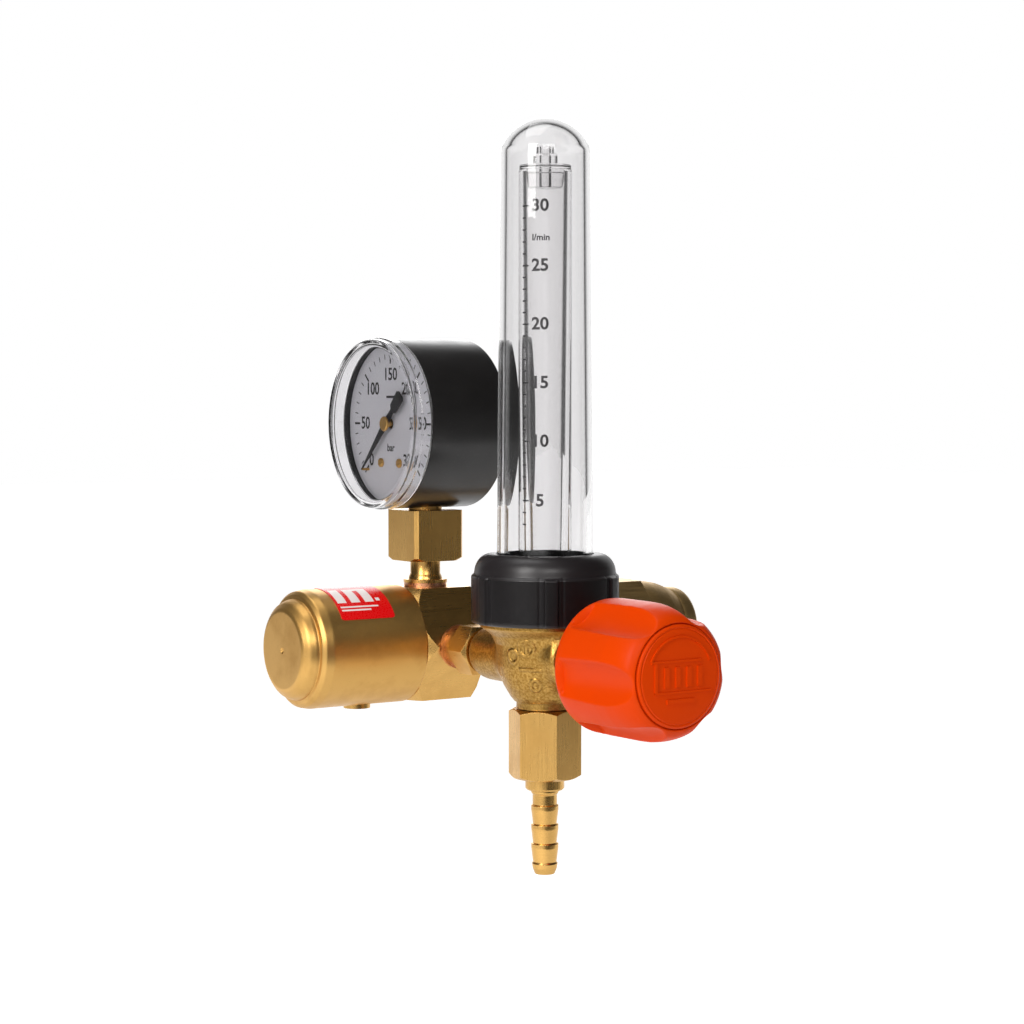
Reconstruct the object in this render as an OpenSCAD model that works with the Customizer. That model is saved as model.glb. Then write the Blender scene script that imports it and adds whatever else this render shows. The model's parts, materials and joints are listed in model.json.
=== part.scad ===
// Gas regulator with cylinder gauge and flowmeter, standing as it does on a cylinder valve.
// The origin is the centre of the inlet nut's mouth. +X is the way the cylinder valve lies,
// the flow tube stands along +Z, and the flow knob faces -Y.

/* [Regulator body] */
// Distance from the inlet nut's mouth to the gauge's upright axis
inlet_reach = 96; // [94:1:104]
// Hexagon body, across flats
hex_af = 33.5; // [33:0.5:35]
// Hexagon body, length left of the gauge axis
hex_left = 9.8; // [9.6:0.1:10.4]
// Hexagon body, length right of the gauge axis
hex_right = 11; // [10:0.5:12]

/* [Bonnet] */
// Bonnet, outer diameter
bonnet_od = 35; // [35:0.5:36]
// Bonnet, distance of its closed end from the gauge axis
bonnet_end = 49; // [48:0.5:52]
// Piston stroke from open to shut
piston_stroke = 0.8; // [0.5:0.1:1]

/* [Inlet] */
// Inlet nut, across flats
inlet_af = 31; // [30:1:32]
// Inlet nut, core radius of its thread
inlet_thread_r = 10; // [9.8:0.1:10.1]
// Inlet nut, length of its thread
inlet_thread_l = 13.5; // [13:0.5:14]

/* [Gauge] */
// Height of the gauge's centre above the inlet axis
gauge_z = 65.7; // [65:0.1:68]
// Gauge case, outer diameter
case_od = 50.6; // [50:0.2:51]
// Gauge socket block, across flats
socket_af = 17; // [16:0.5:17]

/* [Flowmeter] */
// Distance of the flow tube's axis in front of the inlet axis
flow_reach = 63.3; // [63:0.1:66]
// Height of the needle valve above the inlet axis
valve_z = 1.5; // [0:0.5:2]
// Outer tube, diameter at its foot
tube_od = 27; // [26.5:0.1:27.2]
// Outer tube, diameter at its shoulder
tube_top_od = 25; // [24.6:0.1:25.2]
// Height of the outer tube's shoulder
tube_shoulder_z = 142; // [138:1:144]
// Float ball, diameter
float_d = 8; // [7:0.5:8]

/* [Knob] */
// Knob, outer diameter
knob_od = 36.8; // [36:0.2:38]
// Knob, number of flutes
knob_flutes = 6; // [5:1:8]

/* [Outlet] */
// Hose nut, across flats
hose_af = 18; // [17:0.5:19]
// Hose tail, diameter over its ridges
barb_d = 7.7; // [7.2:0.1:7.8]

/* [Hidden] */

$fn = 64;
brass = "#c9a24e";
black = "#1c1c1e";
clear = "#dfe6ea80";

gx = -inlet_reach;           // X of the gauge and of the flow tube
fy = -flow_reach;            // Y of the flow tube
gz = gauge_z;
hex_corner = hex_af / sqrt(3);
bonnet_r = bonnet_od / 2;
thread_gap = 0.05;           // radial gap left in screwed joints
run_gap = 0.05;              // radial gap of sliding and turning fits
cavity_r = 13;               // bonnet bore that the piston slides in
spigot_end = 20;             // end of the body's threaded spigot, left of the gauge axis
nozzle_tip = 9.5;            // nozzle's tip, left of the gauge axis
pad_face = nozzle_tip + piston_stroke;
piston_face = 41;            // piston's outer face, left of the gauge axis
piston_back = 36;            // piston's spring side
spring_wire = 1.6;
spring_r = 8.6;
spring_turns = 4;
stem_r = 3;
port_y = hex_corner - 0.75;  // milled flat on the front corner
fit_y0 = 24.5;               // fitting hexagon, start and end in front of the inlet axis
fit_y1 = 33;
gasket_t = 1.2;
head_z0 = 9;                 // flow body's threaded head
head_z1 = 21;
collar_z0 = 10.8;
collar_z1 = 30.1;
socket_z = 15;               // metering tube: its socket's floor, foot, head and radii
tube_foot = 16;
tube_head = 136;
tube_r = 7.4;
bore_foot_r = 4.15;
bore_head_r = 5.4;
stop_z = 19.5;               // top of the lower float stop
knob_y0 = 93;                // knob's rear edge and front face in front of the inlet axis
knob_y1 = 125;
knob_r = knob_od / 2;
ring_z = -11.2;              // turned ring over the hose nut
nut_z0 = -13.4;              // hose nut's top and the end of its hexagon
nut_z1 = -32.8;
tail_z = -60;
case_r = case_od / 2;
gear_m = 0.4;                // pointer gearing: module, teeth, pressure angle, backlash
pinion_t = 10;
sector_t = 50;
gear_angle = 25;
backlash = 0.12;
sector_dir = -60;            // way from the pointer's axis to the sector's pivot
pivot_gap = gear_m * (pinion_t + sector_t) / 2;
pivot_y = pivot_gap * cos(sector_dir);
pivot_z = pivot_gap * sin(sector_dir);
arbor_r = 0.6;
dial_x = -11.4;              // dial's printed face, left of the gauge axis
screw_y = 5.2;               // dial screws, half their spacing and their height from the dial's centre
screw_z = -11.7;
stop_angle = 42.7;           // stop pin, from straight down, and its distance from the dial's centre
stop_r = 18.8;
blade_x = -13.4;             // pointer blade's front

// ---- shared shapes ----
module xcyl(r, x0, x1) { translate([x0, 0, 0]) rotate([0, 90, 0]) cylinder(r = r, h = x1 - x0); }
module ycyl(r, y0, y1) { translate([0, -y0, 0]) rotate([90, 0, 0]) cylinder(r = r, h = y1 - y0); }
module zcyl(r, z0, z1) { translate([0, 0, z0]) cylinder(r = r, h = z1 - z0); }

// Profile points are [distance along the axis, radius]
module zturn(p) { rotate_extrude() polygon([for (q = p) [q[1], q[0]]]); }
module xturn(p) { rotate([0, 90, 0]) zturn(p); }
module yturn(p) { rotate([90, 0, 0]) zturn(p); }

// Hexagon bar with both ends chamfered to a round face of radius face_r
module hex_bar(af, z0, z1, face_r, turn = 0) {
  corner = af / sqrt(3);
  slope = (corner - face_r) * 0.6;
  intersection() {
    translate([0, 0, z0]) rotate([0, 0, turn]) cylinder(r = corner, h = z1 - z0, $fn = 6);
    zturn([[z0, 0], [z0, face_r], [z0 + slope, corner + 0.01], [z1 - slope, corner + 0.01], [z1, face_r], [z1, 0]]);
  }
}

module o_ring(r, minor) { rotate_extrude() translate([r, 0]) circle(r = minor, $fn = 32); }
module x_ring(x, r, minor) { translate([x, 0, 0]) rotate([0, 90, 0]) o_ring(r, minor); }
module y_ring(y, r, minor) { translate([0, -y, 0]) rotate([90, 0, 0]) o_ring(r, minor); }

// Places a shape at the gauge axis, the flow tube or the valve axis
module at_gauge() { translate([gx, 0, gz]) children(); }
module at_body() { translate([gx, 0, 0]) children(); }
module at_flow() { translate([gx, fy, 0]) children(); }
module at_valve() { translate([gx, 0, valve_z]) children(); }

// Closed ring profile between two radii
function ring_profile(z0, z1, r0, r1) = [[z0, r0], [z0, r1], [z1, r1], [z1, r0]];

// ---- regulator body ----
module body_block() color(brass) at_body() difference() {
  union() {
    intersection() {
      rotate([0, 90, 0]) rotate([0, 0, 30]) translate([0, 0, -hex_left])
        cylinder(r = hex_corner, h = hex_left + hex_right, $fn = 6);
      xturn([[-hex_left, 0], [-hex_left, bonnet_r - 0.1], [-hex_left + 2.8, hex_corner + 0.05],
        [hex_right - 1, hex_corner + 0.05], [hex_right, hex_corner - 1.6], [hex_right, 0]]);
    }
    xcyl(14, -spigot_end, -hex_left + 1);
  }
  xcyl(6.5, 3, hex_right + 1);
  xcyl(3.4, -5.2, 4);
  xcyl(4, -8.2, -5);
  xcyl(5.2, -14, -8);
  xcyl(stem_r + run_gap, -spigot_end - 1, -13);
  xcyl(4.7, -18.2, -15.8);
  zcyl(4.6, 8, hex_af);
  zcyl(2, 0, 9);
  rotate([0, 20, 0]) {
    ycyl(6.8, port_y, hex_corner + 1);
    ycyl(4, 11, hex_corner + 1);
  }
  translate([-11, -3, 0]) rotate([0, 0, 55.5]) ycyl(1.2, 0, 14.2);
}

function bonnet_outline() = concat(
  [[-bonnet_end, 0], [-bonnet_end, 11.2]],
  [for (a = [15:15:90]) [-bonnet_end + 3 * (1 - cos(a)), 11.2 + 3.4 * sin(a)]],
  [[-bonnet_end + 3.8, 14.4], [-bonnet_end + 4.6, 14.8], [-bonnet_end + 5.2, 15.8], [-bonnet_end + 5.6, 16.6],
    [-bonnet_end + 6.6, 17.1], [-bonnet_end + 8.4, bonnet_r], [-hex_left - 0.3, bonnet_r], [-hex_left, bonnet_r - 0.3],
    [-hex_left, 0]]);

module bonnet() color(brass) at_body() difference() {
  xturn(bonnet_outline());
  xcyl(cavity_r, -45, -hex_left);
  xcyl(14 + thread_gap, -spigot_end - 0.4, -hex_left + 1);
  translate([-bonnet_end, 0, 0]) rotate([0, -90, 0]) translate([0, 0, -0.6]) cylinder(r1 = 0, r2 = 0.9, h = 0.61);
  translate([-24, 0, 0]) zcyl(1.6, -bonnet_r - 1, -10);
  translate([-24, 0, 0]) zcyl(4.05, -bonnet_r - 1, -bonnet_r + 1.4);
}

label_turn = 25;              // the label's middle, from straight up towards -Y
module label() color("#d8201c") at_body() rotate([label_turn, 0, 0])
  intersection() {
    difference() {
      xcyl(bonnet_r + 0.15, -38.4, -18.4);
      xcyl(bonnet_r + 0.01, -39, -17);
    }
    translate([-28.4, 0, bonnet_r]) cube([17.8, 19, 12], center = true);
  }

module vent_plug() color(brass) at_body() translate([-24, 0, 0]) difference() {
  union() {
    zcyl(4, -bonnet_r - 0.9, -bonnet_r + 1.35);
    zcyl(1.55, -bonnet_r + 1.3, -cavity_r - 0.4);
  }
  zcyl(0.6, -bonnet_r - 2, -10);
  translate([0, 0, -bonnet_r - 1]) cube([6, 0.8, 0.9], center = true);
}

module bonnet_seal() color(black) at_body() xturn(ring_profile(-spigot_end - 0.35, -spigot_end, cavity_r - 0.5, 13.9));

module piston() color(brass) at_body() difference() {
  union() {
    xturn([[-piston_face, 0], [-piston_face, cavity_r - 0.5], [-piston_face + 0.5, cavity_r - run_gap],
      [-piston_back, cavity_r - run_gap], [-piston_back, 0]]);
    xcyl(stem_r, -piston_back - 1, -pad_face);
    xcyl(6.4, -piston_back - 1, -piston_back + 3);
  }
  xturn(ring_profile(-39.9, -37.1, cavity_r - 2.2, cavity_r + 1));
  xcyl(1, -piston_face - 1, -pad_face - 2.4);
  xcyl(2.2, -pad_face - 1.6, -pad_face + 1);
  translate([-pad_face - 3.4, 0, 0]) zcyl(0.7, -5, 5);
}

module piston_seal() color(black) at_body() x_ring(-38.5, cavity_r - 1.2, 0.98);
module stem_seal() color(black) at_body() x_ring(-17, 3.9, 0.62);
module seat_pad() color("#f2efe6") at_body() xcyl(2.15, -pad_face - 1.6, -pad_face);

module spring_shim() color("#9a9da1") at_body() xturn(ring_profile(-spigot_end - 1.3, -spigot_end - 0.4, 6.6, 12));

// Coil spring as a stack of rings joined by short wire stretches, one solid
module main_spring() color("#8e9196") at_body() {
  z0 = -piston_back + spring_wire / 2 + 0.02;
  z1 = -spigot_end - 1.3 - spring_wire / 2 - 0.02;
  steps = 12 * spring_turns;
  polyhedron_tube([for (i = [0:steps]) [z0 + (z1 - z0) * i / steps, spring_r * cos(i * 30), spring_r * sin(i * 30)]], spring_wire / 2, 8);
}

// Closed tube with flat ends round a list of points, by rings square to X's helix
module polyhedron_tube(path, r, sides) {
  last = len(path) - 1;
  rings = [for (i = [0:last]) let(
      t = path[min(i + 1, last)] - path[max(i - 1, 0)],
      d = t / norm(t),
      u = cross(d, [1, 0, 0]) / norm(cross(d, [1, 0, 0])),
      v = cross(d, u))
    for (k = [0:sides - 1]) path[i] + r * (cos(k * 360 / sides) * u + sin(k * 360 / sides) * v)];
  faces = concat([[for (k = [0:sides - 1]) sides - 1 - k]],
    [for (i = [0:last - 1]) for (k = [0:sides - 1])
      [i * sides + k, i * sides + (k + 1) % sides, (i + 1) * sides + (k + 1) % sides, (i + 1) * sides + k]],
    [[for (k = [0:sides - 1]) last * sides + k]]);
  polyhedron(points = rings, faces = faces, convexity = 4);
}

module nozzle() color(brass) at_body() difference() {
  union() {
    xcyl(4 - thread_gap, -8.1, -5.2);
    xturn([[-nozzle_tip, 0], [-nozzle_tip, 1.4], [-8.4, 2.4], [-7.9, 2.4], [-7.9, 0]]);
  }
  xcyl(0.8, -nozzle_tip - 1, -7);
  xcyl(1.8, -7.2, -5);
}
module nozzle_seal() color("#b87333") at_body() xturn(ring_profile(-8.6, -8.12, 2.6, 4.9));

// ---- inlet ----
stem_face = -14.6;
module inlet_stem() color(brass) difference() {
  union() {
    translate([gx, 0, 0]) xcyl(6.5 - thread_gap, 3.2, hex_right + 1);
    translate([gx + hex_right, 0, 0]) rotate([0, 90, 0]) hex_bar(22, 0, 8, 10.6);
    xcyl(6.5, gx + hex_right + 7, -18);
    xturn([[-18.4, 0], [-18.4, 8.9], [-17.6, 9.6], [stem_face, 9.6], [stem_face, 0]]);
  }
  xcyl(2.6, gx, stem_face + 1);
  xcyl(4.6, stem_face - 5, stem_face + 1);
}
module inlet_filter() color("#a8894f") xcyl(4.55, stem_face - 4, stem_face - 0.6);
module inlet_gasket() color("#efe9da") xturn(ring_profile(stem_face, stem_face + 0.9, 4.9, 8.6));

nut_back = -36;
module inlet_nut() color(brass) difference() {
  union() {
    rotate([0, 90, 0]) hex_bar(inlet_af, nut_back, -19.6, inlet_af / 2 - 0.3, 30);
    xturn([[-21, 0], [-21, 14.2], [-19.6, 14.6], [-18, 14.75], [-15, 14.75], [-12.6, 14.45], [-10, 13.95], [-7.8, 13.2],
      [-6, 12.4], [-5.2, 12.1], [-4.6, 12.25], [-1.6, 12.1], [-0.6, 11.7], [0, 11.1], [0, 0]]);
  }
  xcyl(inlet_thread_r, -inlet_thread_l, 1);
  xcyl(inlet_thread_r + 0.6, -19, -inlet_thread_l);
  xcyl(6.5 + 0.08, nut_back - 1, -18);
}

// ---- gauge ----
module gauge_socket() color(brass) difference() {
  union() {
    translate([gx, 0, 0]) {
      zcyl(4.6 - thread_gap, 9.6, hex_af / 2 + 1.2);
      zcyl(6.6, hex_af / 2 + 1.2, hex_af / 2 + 2.2);
      zturn([[hex_af / 2 + 2, 0], [hex_af / 2 + 2, 5.2], [19.8, 4.9], [20.6, 4.5], [25, 4.5], [25, 0]]);
      translate([0, 0, 24.6 + 7.6]) intersection() {
        cube([socket_af, socket_af, 15.2], center = true);
        rotate([0, 0, 45]) cube([socket_af * 1.414 - 1.5, socket_af * 1.414 - 1.5, 15.2], center = true);
        zturn([[-7.6, 0], [-7.6, 9.8], [-6.2, 12], [7.6, 12], [7.6, 0]]);
      }
      zcyl(5, 39, gz - 20);
      translate([0.7, 0, gz - 17.5]) cube([7.6, 11, 7], center = true);
    }
  }
  translate([gx, 0, 0]) zcyl(1.2, 9, gz - 17);
  translate([gx + 1.5, 0, gz - 18.4]) ycyl(1, 0, 6);
}
module gauge_gasket() color("#b87333") translate([gx, 0, 0]) zturn(ring_profile(hex_af / 2, hex_af / 2 + 1.2, 4.7, 6.4));

module gauge_case() color(black) at_gauge() difference() {
  xturn(concat([[-13.2, 0], [-13.2, case_r - 0.3], [-12.9, case_r], [11.4, case_r]],
    [for (a = [15:15:90]) [11.4 + 2 * sin(a), case_r - 2 * (1 - cos(a))]], [[13.4, 0]]));
  xcyl(case_r - 1, -14, 12.4);
  zcyl(5.2, -case_r - 2, -15);
}

module gauge_window() color(clear) at_gauge() difference() {
  xturn([[-19.5, 0], [-19.5, 23.4], [-19.1, 24.4], [-18.2, 25], [-16.6, 25.1], [-16.2, 25.5], [-13.4, 25.5], [-13.25, 25.4],
    [-13.25, 0]]);
  xcyl(24, -18.2, -13);
  translate([-19.5, 0, 0]) xturn(ring_profile(-0.1, 0.5, 21.6, 22.2));
}

module gauge_dial() color("#f4f4f2") at_gauge() difference() {
  xcyl(24.1, dial_x, dial_x + 0.6);
  xcyl(1.6, dial_x - 1, dial_x + 1);
  at_dial_screws() xcyl(0.55, dial_x - 1, dial_x + 1);
  at_stop() xcyl(0.38, dial_x - 1, dial_x + 1);
}
module at_dial_screws() for (y = [-screw_y, screw_y]) translate([0, y, screw_z]) children();
module at_stop() translate([0, stop_r * sin(stop_angle), -stop_r * cos(stop_angle)]) children();
module dial_screws() color(brass) at_gauge() at_dial_screws() difference() {
  union() {
    xturn([[dial_x - 0.8, 0], [dial_x - 0.8, 1], [dial_x - 0.5, 1.35], [dial_x, 1.35], [dial_x, 0]]);
    xcyl(0.5, dial_x - 0.1, -9.3);
  }
  translate([dial_x - 0.8, 0, 0]) cube([0.7, 3, 0.4], center = true);
}
module stop_pin() color(brass) at_gauge() at_stop() xcyl(0.38, blade_x - 0.2, dial_x + 0.6);

// Pointer at rest on zero: a thin blade towards the scale and a broad tail
module pointer() color(black) at_gauge() rotate([-135, 0, 0]) translate([blade_x + 0.4, 0, 0]) rotate([0, -90, 0]) difference() {
  linear_extrude(0.4) polygon([[0, 1.3], [19.8, 0.2], [19.8, -0.2], [0, -1.3], [-5.5, -0.8], [-6.2, -1.9],
    [-11.6, -2.1], [-12.4, -1.2], [-12.4, 1.2], [-11.6, 2.1], [-6.2, 1.9], [-5.5, 0.8]]);
  translate([0, 0, -1]) cylinder(r = arbor_r, h = 3);
}
module pointer_arbor() color(brass) at_gauge() {
  xturn([[blade_x - 0.7, 0], [blade_x - 0.7, 1.9], [blade_x - 0.4, 2.2], [blade_x, 2.2], [blade_x, 0]]);
  xcyl(arbor_r, blade_x - 0.4, -2.4);
  xcyl(1, blade_x + 0.4, dial_x - 0.3);
  translate([-8, 0, 0]) gear(pinion_t, pinion_t, 2, sector_dir);
}

// Involute flanks: half the angle that a tooth takes at radius r
function inv(c) = tan(acos(c)) * 180 / PI - acos(c);
function half_tooth(n, r) = let(rp = gear_m * n / 2, rb = rp * cos(gear_angle))
  (PI * gear_m / 2 - backlash) / (2 * rp) * 180 / PI + inv(rb / rp) - inv(min(1, rb / r));
function gear_tooth(n, at) =
  let(rp = gear_m * n / 2, rb = rp * cos(gear_angle), root = rp - 1.1 * gear_m, tip = rp + 0.8 * gear_m,
    rs = [root, max(root + 0.01, rb), rp - 0.1, rp, rp + 0.15, tip], last = len(rs) - 1)
  concat([for (r = rs) r * [cos(at - half_tooth(n, r)), sin(at - half_tooth(n, r))]],
    [for (k = [last:-1:0]) rs[k] * [cos(at + half_tooth(n, rs[k])), sin(at + half_tooth(n, rs[k]))]]);
// Gear about X: n teeth to the full circle, of which some are cut, the first at an angle from +Y
module gear(n, cut, thick, first) rotate([0, 90, 0]) linear_extrude(thick)
  polygon(concat(cut < n ? [[0, 0]] : [], [for (i = [0:cut - 1]) each gear_tooth(n, first + 90 + i * 360 / n)]));

// Sector at rest: the gap between its second and third tooth faces the pinion
sector_teeth = 11;
sector_pitch = 360 / sector_t;
tail_dir = -35;
module sector_gear() color(brass) at_gauge() translate([-7.9, pivot_y, pivot_z]) difference() {
  union() {
    gear(sector_t, sector_teeth, 1, 180 + sector_dir - 1.5 * sector_pitch);
    xcyl(2, 0, 1);
    rotate([tail_dir, 0, 0]) translate([0.5, 2.5, 0]) cube([1, 5, 1.8], center = true);
  }
  xcyl(0.75, -1, 4);
}

module movement_frame() color(brass) at_gauge() {
  difference() {
    union() {
      for (x = [-9.6, -3.5]) translate([x, 2.6, -5.3]) cube([0.8, 19.6, 21.4], center = true);
      for (p = [[-5, -14.2], [10.5, -7], [-5, 3.4], [8, 3.4]]) translate([0, p[0], p[1]]) xcyl(1.2, -9.6, -3.6);
      translate([0, pivot_y, pivot_z]) xcyl(0.7, -9.6, -3.6);
    }
    xcyl(arbor_r + run_gap, -11, -2);
    at_dial_screws() xcyl(0.5, -11, -9);
  }
}

// C-shaped flat tube from the socket's post round to its free tip, with its root block and its tip
tube_mid = 1.5;
tube_in = 18;
tube_out = 20.4;
module bourdon_tube() color(brass) at_gauge() difference() {
  union() {
    translate([tube_mid, 0, 0]) rotate([0, 90, 0]) rotate([0, 0, 90]) rotate_extrude(angle = 250)
      translate([tube_in, -3]) square([tube_out - tube_in, 6]);
    translate([tube_mid, -6.6, -18.6]) cube([6, 2.2, 4.4], center = true);
    translate([0.2, 19.2, -0.9]) cube([8.6, 2.4, 2.4], center = true);
  }
  translate([tube_mid, 0, 0]) rotate([0, 90, 0]) rotate([0, 0, 94]) rotate_extrude(angle = 246)
    translate([tube_in + 0.6, -2.4]) square([1.2, 4.8]);
  translate([tube_mid, 0, -18.6]) ycyl(0.9, 5, 7);
}
module tip_link() color(brass) at_gauge() {
  tail = [pivot_y + 4.2 * cos(tail_dir), pivot_z + 4.2 * sin(tail_dir)];
  run = tail - [19.2, -0.9];
  translate([-6.4, 19.2, -0.9]) rotate([atan2(run[1], run[0]), 0, 0]) {
    translate([0, norm(run) / 2, 0]) cube([0.6, norm(run), 1.2], center = true);
    xcyl(0.9, -0.3, 2.28);
    translate([0, norm(run), 0]) xcyl(1, -0.3, 0.3);
  }
}

// ---- flowmeter ----
module outlet_fitting() color(brass) at_body() difference() {
  union() {
    ycyl(4 - thread_gap, 11.6, port_y + gasket_t + 1);
    ycyl(5.6, port_y + gasket_t, fit_y0 + 1);
    rotate([90, 0, 0]) hex_bar(14, fit_y0, fit_y1, 6.6);
    ycyl(4.8, fit_y1 - 1, 43);
  }
  ycyl(1.8, 11, 44);
}
module fitting_gasket() color("#b87333") at_body() yturn(ring_profile(port_y, port_y + gasket_t, 4.1, 6.5));

module flow_body() color(brass) difference() {
  union() {
    at_flow() {
      zturn([[head_z1, 0], [head_z1, 18.2], [head_z0 + 0.6, 18.2], [head_z0, 17.6], [7.6, 15], [5, 13.6], [-1, 13.2], [-4, 12.4],
        [-7, 11.2], [-9.6, 9.8], [ring_z, 8.6], [ring_z, 8], [-13.2, 8], [-13.2, 6.4], [-22.4, 6.4], [-22.8, 6], [-22.8, 0]]);
    }
    at_body() ycyl(7.4, fit_y1 + 0.2, flow_reach);
    at_valve() ycyl(8.6, flow_reach, flow_reach + 15.5);
  }
  at_body() ycyl(4.8 + thread_gap, fit_y1, 44);
  at_body() ycyl(1.8, 43, 56.5);
  at_flow() {
    zcyl(tube_r + run_gap, socket_z, head_z1 + 1);
    zturn(ring_profile(head_z1 - 1.4, head_z1 + 1, 14.6, 16.8));
    zcyl(2, 6, 18);
    zcyl(2.2, -24, -3);
  }
  at_valve() ycyl(5 + thread_gap, flow_reach + 7, flow_reach + 17);
  at_valve() ycyl(3.2, flow_reach + 3, flow_reach + 8);
  at_valve() ycyl(1, flow_reach - 1, flow_reach + 4);
}

module collar_nut() color(black) at_flow() difference() {
  union() {
    zturn([[collar_z0, 0], [collar_z0, 20.2], [collar_z0 + 0.5, 20.7], [24, 20.7], [25.6, 19.8], [28, 18.5], [29.2, 16.8],
      [collar_z1, 14.6], [collar_z1, 0]]);
    for (a = [0:60:300]) rotate([0, 0, a - 90 + 4 - 34]) intersection() {
      translate([20.3, 0, (collar_z0 + 24.1) / 2]) cube([2.1, 3.6, 24.1 - collar_z0], center = true);
      zcyl(21.35, collar_z0, 24.1);
    }
  }
  zcyl(18.2 + thread_gap, collar_z0 - 1, head_z1 + 3.4);
  zcyl(tube_od / 2 + 0.15, 20, collar_z1 + 1);
}

module outer_tube() color(clear) at_flow() {
  dome_h = 8.75;
  dome_r = (pow(tube_top_od / 2, 2) + dome_h * dome_h) / (2 * dome_h);
  dome_z = tube_shoulder_z + dome_h - dome_r;
  wall = 1.9;
  a0 = asin((tube_top_od / 2) / dome_r);
  b0 = asin((tube_top_od / 2 - wall) / (dome_r - wall));
  zturn(concat(
    [[head_z1 + 0.45, 11.6], [head_z1 + 0.45, 17.6], [head_z1 + 3.35, 17.6], [head_z1 + 3.35, tube_od / 2]],
    [[tube_shoulder_z, tube_top_od / 2]],
    [for (k = [1:11]) let(a = a0 * (1 - k / 12)) [dome_z + dome_r * cos(a), dome_r * sin(a)]],
    [[dome_z + dome_r, 0], [dome_z + dome_r - wall, 0]],
    [for (k = [1:12]) let(a = b0 * k / 12) [dome_z + (dome_r - wall) * cos(a), (dome_r - wall) * sin(a)]],
    [[tube_shoulder_z - 1, tube_top_od / 2 - wall]]));
}

module metering_tube() color(clear) at_flow()
  zturn([[tube_foot, bore_foot_r], [tube_foot, tube_r], [tube_head, tube_r], [tube_head, bore_head_r]]);
module float_ball() color("#2a2a2c") at_flow() translate([0, 0, stop_z + float_d / 2 + 0.2]) sphere(r = float_d / 2);
module float_stops() color("#e8e8e4") at_flow() {
  zturn(ring_profile(tube_foot, stop_z, 1.2, bore_foot_r - 0.03));
  zturn([[tube_head - 5, 1.2], [tube_head - 5, 4.9], [tube_head, 5.3], [tube_head, 7.2], [tube_head + 1.4, 7.2],
    [tube_head + 1.4, 3.4], [tube_head + 4.4, 3.4], [tube_head + 4.4, 2.4], [tube_head + 7, 2.4], [tube_head + 7, 1.2]]);
}
module tube_seals() color(black) at_flow() {
  translate([0, 0, head_z1 - 0.46]) o_ring(15.7, 0.9);
  zturn(ring_profile(socket_z, tube_foot, 4.6, 7.2));
}

spindle_r = 2.5;
spindle_end = knob_y0 + 20;
module valve_gland() color(brass) at_valve() difference() {
  union() {
    ycyl(5, flow_reach + 7.2, flow_reach + 16);
    rotate([90, 0, 0]) hex_bar(13, flow_reach + 15.7, flow_reach + 20, 6.3);
    ycyl(5, flow_reach + 19, flow_reach + 24);
  }
  ycyl(spindle_r + run_gap, flow_reach + 6, flow_reach + 26);
  ycyl(3.45, flow_reach + 7, flow_reach + 15);
}
needle_tip = 0.6;             // needle's tip in front of the flow tube's axis, at rest
module valve_spindle() color(brass) at_valve() difference() {
  yturn([[flow_reach + needle_tip, 0], [flow_reach + needle_tip, 0.3], [flow_reach + needle_tip + 4, 1.4],
    [flow_reach + 8.6, 1.4], [flow_reach + 8.6, spindle_r], [spindle_end, spindle_r], [spindle_end, 0]]);
  yturn(ring_profile(flow_reach + 10, flow_reach + 11.8, 1.9, 4));
  ycyl(1.2, spindle_end - 9, spindle_end + 1);
}
module spindle_seal() color(black) at_valve() y_ring(flow_reach + 10.9, 2.7, 0.68);

function knob_outline() = concat([[knob_y0, 0], [knob_y0, knob_r - 1.2], [knob_y0 + 1.2, knob_r - 0.2], [knob_y0 + 3, knob_r],
    [knob_y0 + 17, knob_r]],
  [[knob_y0 + 21, knob_r - 0.12], [knob_y0 + 24.5, knob_r - 0.5], [knob_y0 + 27, knob_r - 1.1], [knob_y0 + 29, knob_r - 2],
    [knob_y0 + 30.1, knob_r - 3], [knob_y1 - 1.4, 14.3], [knob_y1 - 1.4, 0]]);
module knob() color("#ff4a12") at_valve() difference() {
  yturn(knob_outline());
  for (i = [0:knob_flutes - 1]) rotate([0, 24 + i * 360 / knob_flutes, 0]) translate([0, 0, knob_r + 6.3])
    ycyl(9, knob_y0 + 2.6, knob_y1 + 1);
  ycyl(13.6, knob_y0 - 1, knob_y0 + 14);
  ycyl(spindle_r + 0.02, knob_y0, spindle_end);
  ycyl(3.6, knob_y0 + 21, knob_y1);
  ycyl(1.5, knob_y0 + 19, knob_y1);
}
module knob_cap() color("#ff4a12") at_valve() yturn([[knob_y1 - 1.39, 0], [knob_y1 - 1.39, 13.7], [knob_y1 - 0.9, 13.7],
  [knob_y1 - 0.7, 13], [knob_y1 - 0.2, 8], [knob_y1, 0]]);
module knob_screw() color("#9a9da1") at_valve() difference() {
  union() {
    ycyl(1.15, spindle_end - 8.5, spindle_end + 1);
    ycyl(2.8, spindle_end + 1, spindle_end + 3.4);
  }
  translate([0, -spindle_end - 3.2, 0]) cube([0.8, 1.8, 8], center = true);
}

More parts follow.
